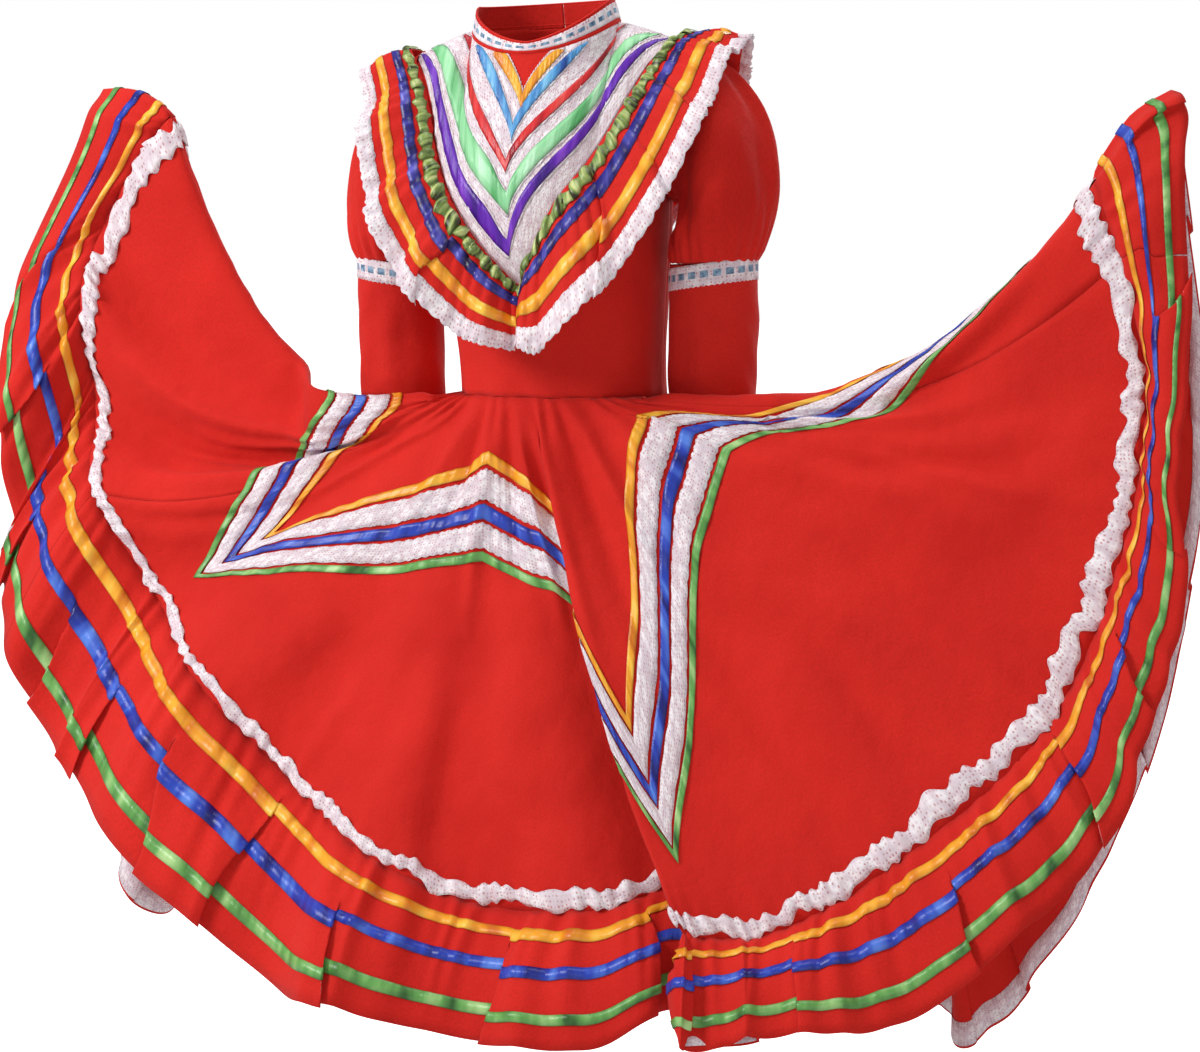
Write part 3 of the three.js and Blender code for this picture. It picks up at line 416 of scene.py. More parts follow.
def collar_point(turn, t):
    a = np.radians(turn)
    in_front = np.cos(a) < 0
    size = NECK_U * np.where(in_front, np.abs(turn - 180), 90 - np.abs(90 - turn % 180)) / 90
    u = np.where(np.sin(a) < 0, -size, size)
    base = np.where(in_front[..., None], bodice_top(-1, u), bodice_top(1, u))
    base = base + 0 * np.asarray(t)[..., None]
    height = np.where(in_front, lerp(11, 24, np.abs(np.sin(a)) ** 1.2), 24)
    base[..., 2] += 0.35 + lerp(1.6, 2.3, np.sin(a) ** 2) + height * t
    base[..., 0] -= 6 * t * np.sin(a)
    base[..., 1] -= 3 * t * np.cos(a)
    return leaning(base)


turns = np.linspace(359.8, 0.2, 181)[None, :]
stand = raised(collar_point(turns, np.linspace(1, -0.14, 12)[:, None]), 1.2)
sewn("collar", stand, red, wall=1.0, replaces=["collar"])
lace_rows = np.linspace(0.84, 0.12, 7)[:, None] + 0 * turns
lace_rows[0] += 0.02 * np.sin(np.linspace(0, 150 * math.pi, 181))
beading = raised(collar_point(turns, lace_rows), 1.9)
sewn("collar_lace", beading, slotted, wall=0.4, replaces=["collar_lace"])
for name, place in (("collar_edge_top", 1.0), ("collar_edge_foot", 0.03)):
    ring = collar_point(turns, np.array([[place]]))[0]
    turn = np.linspace(0, 2 * math.pi, 9)[:, None]
    centre = ring[None] + np.array([0, 0, 0.3])
    outward = unit((ring - ring.mean(0)) * np.array([1, 1, 0]))[None]
    roll = outward * (1.2 * np.cos(turn)[..., None] + 0.9) + np.array([0, 0, 1.2]) * np.sin(turn)[..., None]
    sewn(name, (centre + roll)[::-1], red, wall=0)

# ---------------------------------------------------------------- ruffle round the yoke
# A strip of red poplin gathered to the yoke's edge. It stands out over the shoulders and lies down at
# both tips, with a ruched green ribbon, a dark blue and a yellow one sewn on, and lace along its free
# edge. q runs round it: 0 at the front tip, 25 at the left shoulder, 50 at the back tip, 75 at the
# right shoulder.

# Three colours each: a painted highlight, the ribbon's own colour and a painted shade, the ruched ribbon's
# nearly black and in small patches.
olive = satin("ruched_satin", srgb(206, 214, 140), srgb(126, 152, 74), srgb(46, 44, 20), sheen_scale=120.0)
navy = satin("navy_satin", srgb(98, 96, 196), srgb(44, 40, 134), srgb(26, 10, 60), sheen_scale=40.0)

RUFFLE_LIE = np.array([  # q, out, ahead, down, depth
    (0, 0, -0.3, 0.95, 64), (1.5, 0.04, -0.32, 0.94, 100), (3, 0.1, -0.34, 0.93, 122),
    (6, 0.24, -0.38, 0.9, 130), (9, 0.4, -0.4, 0.82, 122), (12, 0.58, -0.42, 0.7, 110),
    (18, 0.86, -0.38, 0.32, 92), (25, 0.99, 0, 0.08, 68), (32, 0.88, 0.38, 0.3, 86),
    (40, 0.6, 0.42, 0.7, 96), (47, 0.14, 0.36, 0.92, 88), (50, 0, 0.36, 0.93, 74),
    (53, -0.14, 0.36, 0.92, 88), (60, -0.6, 0.42, 0.7, 96), (68, -0.84, 0.38, 0.48, 78),
    (75, -0.9, 0, 0.42, 58), (82, -0.86, -0.44, 0.42, 78), (88, -0.54, -0.42, 0.78, 92),
    (91, -0.34, -0.4, 0.88, 94), (94, -0.18, -0.38, 0.93, 92), (97, -0.06, -0.34, 0.94, 80),
    (98.5, -0.02, -0.32, 0.95, 68),
], float)


def through(table, at, sweep):
    """Smooth values of a table's columns at given keys, its first column; it repeats after each sweep."""
    keys = np.concatenate([table[:, 0] - sweep, table[:, 0], table[:, 0] + sweep])
    values = np.concatenate([table[:, 1:]] * 3)
    steps = np.roll(keys, -1) - np.roll(keys, 1)
    slope = (np.roll(values, -1, 0) - np.roll(values, 1, 0)) / steps[:, None]
    turned = (np.asarray(at, float) - table[0, 0]) % sweep + table[0, 0]
    k = np.searchsorted(keys, turned.ravel(), side="right") - 1
    span = keys[k + 1] - keys[k]
    t = ((turned.ravel() - keys[k]) / span)[:, None]
    span = span[:, None]
    start = (2 * t**3 - 3 * t**2 + 1) * values[k] + (t**3 - 2 * t**2 + t) * slope[k] * span
    end = (3 * t**2 - 2 * t**3) * values[k + 1] + (t**3 - t**2) * slope[k + 1] * span
    return (start + end).reshape(turned.shape + (values.shape[1],))


def beside(at, t, centre, sweep, mm):
    """How far a point is from a tuck, whose line bends as it runs down."""
    bend = 20 * (t - 0.5) * math.sin(centre * 2.3) + 7 * np.sin(5 * t + centre)
    return ((at - centre + sweep / 2) % sweep - sweep / 2) * mm + bend


def tucked(at, t, tucks, sweep, mm, width, tall, reach):
    """Where cloth at a key lies once each tuck laps it over itself, with the tucks' lift and drop in mm.
    A tuck opens at a depth of its own."""
    shift, lift, drop = 0 * at, 0 * at, 0 * at
    for centre, lap, step in tucks:
        begin = 0.16 + 0.16 * math.sin(centre * 1.9)
        grown = smooth(t, begin, begin + 0.32) * (0.8 + 0.2 * t)
        off = beside(at, t, centre, sweep, mm)
        turned = np.tanh(off / width)
        shift = shift + abs(lap) * turned * np.exp(-((off / reach) ** 2)) * grown
        over = 0.5 + 0.5 * np.tanh(math.copysign(1, lap) * off / (1.4 * width))
        lift = lift + tall * over * np.exp(-np.abs(off) / reach) * grown
        settled = grown * (1 - 0.6 * smooth(t, 0.65, 1))
        drop = drop + math.copysign(step, lap) * turned * np.exp(-np.abs(off) / (1.2 * reach)) * settled
    return at - shift / mm, lift, drop


RUFFLE_TUCKS = [  # q, lap and the side it faces, drop
    (8.5, 13, 6), (17, -9, 3), (28, 10, 4), (37, -11, 4), (46, 9, 3), (57, -10, 4), (66, 10, 3),
    (91.5, -12, 6),
]


def ruffle_point(q, t):
    q, t = np.broadcast_arrays(np.asarray(q, float) % 100, np.asarray(t, float))
    q, tuck, drop = tucked(q, t, RUFFLE_TUCKS, 100, 14.0, 5.5, 7.0, 38)
    quarter = (q % 100) / 25
    u = np.where(quarter <= 1, quarter, np.where(quarter <= 3, 2 - quarter, quarter - 4))
    in_front = (quarter <= 1) | (quarter > 3)
    joint = 1 - smooth(1 - np.abs(u), 0, 0.25)
    start = np.where(in_front[..., None], bodice(-1, u, yoke_edge(-1, u)), bodice(1, u, yoke_edge(1, u)))
    outward = unit(start * np.array([1, 1, 0]))
    start = start + outward * 5.3
    start[..., 2] += 10 * joint
    start[..., 0] += np.sign(u) * 4 * joint
    lie = through(RUFFLE_LIE, q, 100)
    depth = lie[..., 3:4]
    lie = unit(lie[..., :3] * np.array([1, 1, -1]))
    side = unit(np.stack([-lie[..., 1], lie[..., 0], 0 * q], -1))
    up = np.cross(lie, side)
    flip = (np.sum(up * outward, -1) < 0) & (up[..., 2] < 0)
    up = np.where(flip[..., None], -up, up)
    a = q / 100 * 2 * math.pi
    main = np.sin(a * 20 + 0.5 * np.sin(a * 8))
    gather = np.sin(a * 84 + 1.3 * np.sin(a * 14))
    lift = 9 * t * main + 7.2 * np.sin(math.pi * np.minimum(t, 1)) + 1.7 * gather * (1 - 0.5 * t)
    lift = lift + 1.3 * ripple(382 * np.cos(a), 382 * np.sin(a) + t * 80, 40, 5) + tuck
    return start + lie * (depth * t[..., None] + drop[..., None]) + up * lift[..., None]


qs = np.linspace(50.15, 149.85, 900)[None, :]
strip = raised(ruffle_point(qs, np.linspace(0, 1, 11)[:, None]), 1.2)
sewn("ruffle", strip, red, replaces=["ruffle"])
edge = np.linspace(0, 1, 4)[:, None]
edge_rows = lerp(0.91, 1.15, edge) + (0.03 * edge - 0.012 * (1 - edge)) * np.abs(np.sin(qs * 6.6))
edge_lift = 1.9 + edge * (1.3 * np.sin(qs * 6.6 + 1) + 0.9 * np.sin(qs * 3.1))
edging = raised(ruffle_point(qs, edge_rows), edge_lift)
sewn("ruffle_lace", edging, white, wall=0.4, replaces=["ruffle_lace"])
RUFFLE_ROWS = [  # name, from and to along the depth, material, slot
    ("ruffle_ribbon_blue", 0.25, 0.41, navy, "blue_satin"),
    ("ruffle_ribbon_yellow", 0.6, 0.77, yellow, "yellow_satin"),
]
for name, t0, t1, material, slot in RUFFLE_ROWS:
    sewn(name, raised(ruffle_point(qs, np.linspace(t0, t1, 3)[:, None]), 2.1), material, wall=0.4)
# The innermost row is a ribbon ruched to twice its length: it stands in small puffs, dark between them, and
# its satin is painted with small patches of shade.
dense = np.linspace(50.15, 149.85, 1500)[None, :]
puffs = np.sin(dense * 4.3 + 0.8 * np.sin(dense * 1.7))
across = np.linspace(-1, 1, 6)[:, None]
rows = 0.115 + 0.085 * across * (1 + 0.28 * puffs) + 0.012 * np.sin(dense * 2.9)
ruched = raised(ruffle_point(dense, rows), 2.4 + (1 - across**2) * (3.0 + 2.4 * puffs))
sewn("ruffle_ribbon_green", ruched, olive, wall=0.4)

# ---------------------------------------------------------------- sleeves
# A puff of red poplin gathered into the armhole and at the elbow, and a straight lower sleeve sewn on
# under a beading lace. turn is 0 on the sleeve's outer side and 90 at its front.

ARMS = {  # side, band x and y, cuff x and y, the skirt's crest, fullness of the puff
    "left": (1, 187, -22, 184, -12, 2, 1.05),
    "right": (-1, 200, -12, 204, 6, 235, 0.5),
}
BAND_Z, CUFF_Z = -258, -418
SLEEVE_X, SLEEVE_Y = 48, 44  # half breadths of the lower sleeve at the cuff


def sleeve_ring(arm, turn, t, grow=0.0):
    side, band_x, band_y, cuff_x, cuff_y = arm[:5]
    a = np.radians(turn)
    x = lerp(band_x, cuff_x, t) + (SLEEVE_X + grow) * np.cos(a)
    y = lerp(band_y, cuff_y, t) - (lerp(SLEEVE_Y + 2, SLEEVE_Y, t) + grow) * np.sin(a)
    return np.stack(np.broadcast_arrays(side * x, y, lerp(BAND_Z, CUFF_Z, t)), -1)


def puff_point(arm, turn, t):
    turn, t = np.broadcast_arrays(turn, t)
    side = arm[0]
    a = np.radians(turn)
    outer = (1 + np.cos(a)) / 2
    front_side = np.sin(a) >= 0
    ones = np.full(a.shape, float(side))
    start = np.where(front_side[..., None], bodice(-1, ones, 1 + outer), bodice(1, ones, 1 + outer))
    start[..., 0] += side * (1.6 + 0.55 + 1.6 * (1 - outer))
    leave = np.stack([side * arm[6] * lerp(46, 112, outer), -40 * np.sin(a), lerp(-6, -34, outer)], -1)
    end = sleeve_ring(arm, turn, 0 * t)
    sideways = side * 44 * np.cos(a) * np.where(np.cos(a) < 0, 0.1, 1)
    reach = np.stack([sideways, -40 * np.sin(a), 56 + 26 * np.cos(a)], -1)
    p = curve(start, start + leave, end + reach, end, t[..., None])
    near = np.exp(-t * 7) + np.exp(-(1 - t) * 7)
    gather = 2.8 * np.sin(a * 23 + np.sin(a * 3)) * near * smooth(t, 0, 0.06) * smooth(1 - t, 0, 0.06)
    soft = 5.0 * np.sin(a * 7 + 2.5 * np.sin(a * 2 + t * 2))
    soft = soft + 3.4 * ripple(110 * np.cos(a), 110 * np.sin(a) + t * 190, 62, 11)
    soft = soft * np.sin(math.pi * t)
    return p + np.stack([side * np.cos(a), -np.sin(a), 0 * a], -1) * (gather + soft)[..., None]


for side_name, arm in ARMS.items():
    around = np.linspace(0, 360, 168, endpoint=False)[None, :]
    around = around if arm[0] < 0 else (360 - around) % 360
    turn = np.radians(around)
    puff = raised(puff_point(arm, around, np.linspace(0, 1, 37)[:, None]), 1.2, True)
    sewn(f"puff_{side_name}", puff, red, closed=True, replaces=[f"puff_{side_name}"])

    down = np.linspace(0.012, 1, 21)[:, None]
    wrinkle = ripple(60 * np.cos(turn), 60 * np.sin(turn) + down * 150, 44, 17) * smooth(down, 0.1, 0.4)
    wrinkle = 2.2 * wrinkle + 2.5 * np.sin(math.pi * down)
    sleeve = raised(sleeve_ring(arm, around, down, wrinkle), 1.2, True)
    sewn(f"sleeve_{side_name}", sleeve, red, closed=True, replaces=[f"sleeve_{side_name}"])

    down = np.linspace(0.0, 0.15, 7)[:, None] + 0 * around
    down[-1] += 0.012 * np.abs(np.sin(turn[0] * 26))
    tilt = 7 * np.cos(turn)[..., None] * np.array([0, 0, 1.0])
    flare = 1.2 + 1.2 * np.abs(np.sin(turn * 13)) * (0.3 + down)
    band = raised(sleeve_ring(arm, around, down, flare), 1.4, True) + tilt
    name = f"sleeve_lace_{side_name}"
    sewn(name, band, slotted, wall=0.4, closed=True, replaces=[name])

    held_by = [f"puff_{side_name}"]

# ---------------------------------------------------------------- skirt
# Three half circles of red poplin sewn to each other and to the waist, 540 degrees of cloth, held out
# at both sides. A point has a flat angle and a distance from the waist; 0 lies on the wearer's left
# edge, 99 at the waist's centre front. Each rib says where the flounce seam and the hem hang.

RIBS = np.array([  # angle, seam x y z, hem x y z, sag, sway
    (-3, 620, -26, -184, 710, -20, -108, 92, 0), (7, 636, -80, -196, 714, -66, -120, 92, 0),
    (20, 690, -90, -396, 744, -130, -450, 30, 0), (37, 654, -130, -610, 728, -184, -690, -40, -22),
    (53, 574, -176, -776, 650, -238, -884, -50, -24), (68, 442, -214, -896, 496, -284, -1022, -24, -16),
    (82, 330, -250, -964, 352, -336, -1062, 0, -6), (95, 236, -284, -966, 258, -360, -1066, 0, -26),
    (105, 300, -234, -948, 338, -304, -1060, 0, -24), (115, 210, -206, -930, 236, -276, -1056, 0, -22),
    (124, 118, -232, -962, 134, -314, -1092, 0, -14), (138, -58, -236, -956, -70, -314, -1092, 0, -8),
    (155, -252, -188, -866, -288, -286, -1034, 4, 0), (175, -460, -102, -698, -542, -190, -880, 12, 0),
    (195, -598, -26, -508, -696, -70, -692, 55, 0), (216, -632, 30, -292, -728, -6, -452, 105, 0),
    (224, -616, 44, -196, -726, 34, -262, 126, 0), (231, -544, 50, -100, -650, 66, -72, 148, 0),
    (239, -538, 76, -100, -646, 106, -70, 148, 0), (252, -620, 84, -268, -722, 124, -310, 115, 0),
    (269, -640, 120, -470, -734, 172, -556, 70, 0), (290, -640, 156, -748, -748, 190, -918, 12, 0),
    (308, -560, 210, -944, -640, 240, -1120, 0, 0), (350, -258, 300, -986, -286, 356, -1150, 0, 0),
    (392, 0, 316, -990, 0, 376, -1154, 0, 0), (432, 226, 284, -994, 250, 340, -1176, 0, 0),
    (466, 436, 216, -990, 480, 240, -1176, 0, 0), (486, 566, 152, -770, 632, 192, -904, 10, 0),
    (502, 628, 82, -560, 694, 130, -700, 26, 0), (522, 664, 8, -330, 728, 60, -420, 70, 0),
], float)
SWEEP, HALF, LENGTH = 540, 180, 620
WAIST_ROUND = math.pi * math.sqrt(2 * (WAIST_X**2 + WAIST_Y**2))
FLAT_RADIUS = WAIST_ROUND / math.radians(SWEEP)
FRONT_FOLDS = [  # angle, half breadth, height
    (23, 12, -14), (45, 12, 16), (62, 11, -10), (124, 9, -16), (135, 8, 14), (146, 9, -16),
    (158, 9, 14), (169, 9, -18), (180, 9, 18), (191, 9, -20), (203, 9, 20), (214, 9, -20), (225, 9, 12),
]
BACK_FROM, BACK_TO, BACK_PITCH = 281.25, 483.75, 22.5  # the back hangs in folds of one size
CREASES = [  # from angle and distance, to angle and distance, half breadth, height: soft drags in the cloth
    (46, 218, 37, 420, 24, 9), (40, 300, 24, 540, 28, -11), (66, 250, 54, 520, 28, 10),
    (72, 330, 70, 600, 32, -10), (26, 180, 15, 500, 22, 9), (18, 240, 8, 560, 16, -9),
    (56, 60, 64, 300, 15, 8), (50, 0, 46, 170, 11, 6), (70, 0, 74, 240, 11, 7),
    (82, 0, 84, 300, 13, -7), (104, 0, 108, 260, 11, 8), (116, 0, 118, 330, 13, 9),
    (124, 0, 127, 240, 9, -7), (132, 0, 138, 300, 11, 9), (142, 0, 150, 220, 9, -7),
    (150, 0, 160, 260, 11, 8), (128, 320, 133, 600, 36, 11), (145, 300, 150, 600, 32, -11),
    (160, 330, 166, 590, 27, 11), (176, 260, 178, 560, 21, 9), (190, 120, 196, 560, 17, 11),
    (200, 160, 203, 520, 13, -9), (212, 150, 213, 540, 13, 9), (172, 40, 184, 300, 11, 8),
    (33, 330, 30, 600, 17, 8), (60, 420, 62, 610, 19, -8), (95, 60, 92, 330, 10, 6),
    (111, 20, 112, 190, 9, -6), (10, 330, 4, 600, 15, 8), (50, 360, 47, 560, 16, -7),
    (138, 380, 140, 610, 17, -7), (154, 420, 157, 610, 15, 7), (185, 330, 189, 600, 13, -8),
    (207, 60, 208, 430, 11, 8), (300, 60, 306, 560, 24, 10), (340, 40, 344, 600, 30, -9),
    (382, 30, 376, 580, 26, 9), (420, 40, 428, 600, 30, -9), (460, 40, 470, 560, 26, 10),
    (505, 80, 500, 560, 22, -9), (262, 120, 262, 560, 20, 8), (320, 300, 326, 600, 20, 8),
    (362, 280, 360, 600, 18, -8), (402, 260, 406, 600, 22, 9), (442, 300, 450, 600, 20, 8),
    (484, 260, 486, 600, 18, -8),
]


def fold_height(angle):
    at = angle % SWEEP
    height = 0 * at
    for centre, half, tall in FRONT_FOLDS:
        off = np.abs(at - centre)
        crest = np.cos(np.minimum(off / half, 1) * math.pi / 2) ** 2
        height = height + np.where(off < half, tall * crest, 0)
    ends = np.clip(np.minimum((at - BACK_FROM) / 20, (BACK_TO - at) / 20), 0, 1)
    size = 34 * (1 + 0.22 * np.sin(at * 0.31)) * ends
    return height + size * np.cos(2 * math.pi * (at - BACK_FROM) / BACK_PITCH + 0.4 * np.sin(at * 0.11))


def clear_of_sleeves(p, angle, s):
    """The skirt's upper edge passes in front of a sleeve and then under its cuff."""
    on_left = p[..., 0] > 0
    arm = [np.where(on_left, *pair) for pair in zip(ARMS["left"], ARMS["right"])]
    side, _, _, cuff_x, cuff_y, crest_angle, _ = arm
    behind = (side * (crest_angle - angle) + SWEEP / 2) % SWEEP - SWEEP / 2
    near = (1 - smooth(np.abs(np.abs(p[..., 0]) - cuff_x), 80, 150)) * smooth(s, 0, 24)
    ahead = near * (1 - smooth(behind, 8, 14)) * smooth(p[..., 2], -490, -440)
    under = near * smooth(behind, 3, 7) * (1 - smooth(p[..., 1], 60, 100))
    crest = near * (1 - smooth(np.abs(behind), 2, 16))
    in_front = cuff_y - SLEEVE_Y - 18 + lerp(-14, 6, smooth(behind, -8, 9))
    p[..., 1] = lerp(p[..., 1], np.minimum(p[..., 1], in_front), ahead)
    p[..., 2] += 10 * crest * smooth(s, 20, 60)
    p[..., 2] = lerp(p[..., 2], np.minimum(p[..., 2], CUFF_Z - 28), under)
    return p


def flat_cut(angle, s):
    r = FLAT_RADIUS + s
    return np.stack([r * np.cos(np.radians(angle)), r * np.sin(np.radians(angle))], -1)


def relief(angle, s):
    """The cloth between the main folds: soft drags, waves, pleats at the waist and puckers at the seam."""
    once = np.radians(angle * 360 / SWEEP)
    x, y = 1.5 * (FLAT_RADIUS + s) * np.cos(once), 1.5 * (FLAT_RADIUS + s) * np.sin(once)
    height = 3.4 * ripple(x, y, 190, 21) + 1.0 * ripple(x, y, 62, 22)
    for a0, s0, a1, s1, half_breadth, tall in CREASES:
        turn = (angle - a0 + SWEEP / 2) % SWEEP - SWEEP / 2 + a0
        start, end = flat_cut(a0, s0), flat_cut(a1, s1)
        here = flat_cut(turn, s)
        line = end - start
        along = ((here - start) @ line) / (line @ line)
        off = np.linalg.norm(here - start - np.clip(along, 0, 1)[..., None] * line, axis=-1)
        on_side = np.abs(turn - (a0 + a1) / 2) < 60
        grown = smooth(along, -0.25, 0.35) * (1 - smooth(along, 0.6, 1.15)) * on_side
        height = height + tall * np.exp(-((off / half_breadth) ** 2)) * grown
    a = np.radians(angle)
    pleats = 2.8 * np.sin(a * 26 + 1.4 * np.sin(a * 8)) * np.exp(-s / 70) * smooth(s, 0, 25)
    puckers = 1.5 * np.sin(a * 118 + 1.7 * np.sin(a * 32)) * smooth(s, 540, 618)
    return height * smooth(s, 0, 90) + pleats + puckers


def skirt(angle, s):
    angle, s = np.broadcast_arrays(np.asarray(angle, float), np.asarray(s, float))
    t = s / LENGTH
    a = np.radians((angle - 99) / SWEEP * 360)
    waist = np.stack([-WAIST_X * np.sin(a), -WAIST_Y * np.cos(a), 0 * a + WAIST_Z], -1)
    ribs = through(RIBS, angle, SWEEP)
    seam = ribs[..., :3]
    p = lerp(waist, seam, t[..., None])
    p[..., 2] -= ribs[..., 6] * 4 * t * (1 - t) * (0.75 + 0.5 * t)
    p[..., 0] += ribs[..., 7] * 4 * t * (1 - t)
    ahead = through(RIBS, angle + 2, SWEEP)[..., :3] - through(RIBS, angle - 2, SWEEP)[..., :3]
    out = unit(np.cross(seam - waist, ahead))
    p = p + out * (fold_height(angle) * smooth(t, 0.02, 1.08) * 1.04)[..., None]
    return clear_of_sleeves(p, angle, s)


HALF_CIRCLES = [  # name, angle of its first seam
    ("front", 191.25), ("back_left", 11.25), ("back_right", 371.25)]
down = np.linspace(0, LENGTH, 51)[:, None]
for name, start in HALF_CIRCLES:
    turn = np.linspace(start - 0.02, start - HALF + 0.02, 241)[None, :]
    grid = raised(skirt(turn, down), 1.2 + relief(turn, down))
    cut = flat_cut(turn + 0 * down, down + 0 * turn) / 1000
    sewn(f"skirt_{name}", grid, red, uv=cut, replaces=[f"skirt_{name}"])

# ---------------------------------------------------------------- star on the skirt
# Three satin ribbons and two laces are sewn round the skirt along a six-pointed star, drawn with
# straight lines in the flat cut. A share of 0 is the star's inner edge and 1 its outer edge.

# Each satin gets three colours: a painted highlight, the ribbon's own colour and a painted shade.
blue = satin("blue_satin", srgb(88, 132, 228), srgb(38, 66, 182), srgb(18, 22, 110))
green = satin("green_satin", srgb(176, 216, 140), srgb(104, 168, 84), srgb(46, 96, 40))
POINT = 90  # degrees of cloth from tip to tip
NOTCH_IN, NOTCH_OUT, TIP_IN, TIP_OUT = 70, 206, 374, 540  # distances below the waist


def star_edge(angle, share):
    off = np.abs((angle + POINT / 2) % POINT - POINT / 2)
    notch = FLAT_RADIUS + lerp(NOTCH_IN, NOTCH_OUT, share)
    tip = FLAT_RADIUS + lerp(TIP_IN, TIP_OUT, share)
    reach = notch * np.sin(np.radians(POINT / 2 - off)) + tip * np.sin(np.radians(off))
    return notch * tip * math.sin(math.radians(POINT / 2)) / reach - FLAT_RADIUS


STAR_COLUMNS, STAR_ROWS = 1440, 4
STAR = [  # name, inner and outer share, material, slot, scallop
    ("star_ribbon_yellow", 0.0, 0.12, yellow, "yellow_satin", 0),
    ("star_lace_inner", 0.17, 0.43, white, "white_lace", 2.0),
    ("star_ribbon_blue", 0.48, 0.62, blue, "blue_satin", 0),
    ("star_lace_outer", 0.66, 0.87, white, "white_lace", 2.0),
    ("star_ribbon_green", 0.91, 1.0, green, "green_satin", 0),
]
turn = np.linspace(SWEEP, 0, STAR_COLUMNS, endpoint=False)[None, :]
share = np.linspace(0, 1, STAR_ROWS)[:, None]
outward = np.rint(share * 2 - 1) * (np.abs(share * 2 - 1) > 0.99)
for name, inner, outer, material, slot, scallop in STAR:
    s = lerp(star_edge(turn, inner), star_edge(turn, outer), share)
    s = s + scallop * np.abs(np.sin(np.radians(turn) * 83)) * outward
    pucker = 0.35 * np.sin(np.radians(turn) * 96 + 3 * np.sin(np.radians(turn) * 14))
    pucker = pucker + 0.5 * ripple(turn * 6, s, 30, 31)
    grid = raised(skirt(turn, s), 2.9 + relief(turn, s) + pucker, True)
    sewn(name, grid, material, wall=0.4, closed=True, replaces=[name])

# Each panel is half a ring cut from cloth 1.4 m wide.
cut = (2 * (FLAT_RADIUS + LENGTH) / 1000, (FLAT_RADIUS + LENGTH) / 1000)

# ---------------------------------------------------------------- flounce
# Three strips of red poplin gathered to the skirt's edge, with three rows of ribbon outside and lace
# inside at the hem. It hangs in broad waves, with finer gathers that fade from the seam. At each tuck
# the cloth laps over itself, so the rows of ribbon break and step there.

TUCKS = [  # angle, lap and the side it faces, drop
    (-9, 15, 8), (4, -13, 7), (14, 16, 9), (27, -12, 6), (38, 15, 9), (49, -17, 8), (63, 14, 10),
    (79, -13, 6), (92, 12, 7), (118, 16, 9), (131, -13, 8), (146, 17, 10), (158, 13, 6), (167, -15, 9),
    (176, 16, 8), (186, -14, 10), (196, 16, 8), (205, -13, 9), (213, 15, 7), (222, -12, 8),
    (262, 14, 7), (281, -15, 8), (303, 15, 8), (326, -13, 7), (347, 15, 9), (371, -14, 8), (396, 14, 7),
    (421, -15, 8), (446, 15, 8), (470, -13, 8), (490, 14, 9), (509, -15, 8),
]
SEAM_MM = (FLAT_RADIUS + LENGTH) * math.pi / 180  # seam in a degree


def flounce(angle, t):
    angle, t = np.broadcast_arrays(np.asarray(angle, float), np.asarray(t, float))
    angle, tuck, step = tucked(angle, t, TUCKS, SWEEP, SEAM_MM, 6.5, 9.0, 60)
    at_seam = np.full(angle.shape, float(LENGTH))
    head = skirt(angle, at_seam)
    before, after = skirt(angle + 0.8, at_seam), skirt(angle - 0.8, at_seam)
    ribs = through(RIBS, angle, SWEEP)
    hem = ribs[..., 3:6] + (head - ribs[..., :3]) * 1.12
    side = unit(after - before)
    drop = hem - head
    out = unit(np.cross(drop, side))
    head = head + out * (1.2 + relief(angle, at_seam))[..., None]
    a = np.radians(angle)
    broad = a * 18 + 1.1 * np.sin(a * 6 + 1) + 0.6 * np.sin(a * 12)
    second = a * 34 + 1.3 * np.sin(a * 8)
    gather = a * 72 + 1.5 * np.sin(a * 20) + 0.8 * t
    fine = a * 150 + 2.0 * np.sin(a * 42)
    lift = 14 * np.sin(math.pi * t) + t**0.8 * (10.5 * np.cos(broad) + 5.2 * np.cos(second)) + tuck
    lift = lift + (3.0 * smooth(t, 0, 0.12) + 0.4 * t) * np.cos(gather) * (1 - 0.4 * t)
    lift = lift + 2.2 * np.cos(fine) * smooth(t, 0, 0.05) * (1 - t) ** 1.5
    shift = t**0.8 * (7.5 * np.sin(broad) + 3.4 * np.sin(second)) + 1.4 * np.sin(gather) * smooth(t, 0, 0.2)
    sway = 4.0 * np.sin(a * 8 + 1.3 * np.sin(a * 4)) * t + step
    start = head - unit(drop) * 0.5
    hung = lerp(start, hem, t[..., None]) + unit(drop) * sway[..., None]
    return hung + out * lift[..., None] + side * shift[..., None]


down = np.linspace(0, 1, 13)[:, None]
for name, start in HALF_CIRCLES:
    turn = np.linspace(start, start - HALF, 1001)[None, :].copy()
    turn[0, 0] -= 0.02
    turn[0, -1] += 0.02
    sewn(f"flounce_{name}", raised(flounce(turn, down), 0), red, replaces=[f"flounce_{name}"])
whole = (551.25 - 0.18 * np.arange(3000))[None, :]
FLOUNCE_ROWS = [  # name, from and to along the drop, material, slot
    ("flounce_ribbon_yellow", 0.15, 0.235, yellow, "yellow_satin"),
    ("flounce_ribbon_blue", 0.42, 0.51, blue, "blue_satin"),
    ("flounce_ribbon_green", 0.75, 0.83, green, "green_satin"),
]
for name, t0, t1, material, slot in FLOUNCE_ROWS:
    grid = raised(flounce(whole, np.linspace(t0, t1, 3)[:, None]), 1.2, True)
    sewn(name, grid, material, wall=0.4, closed=True)
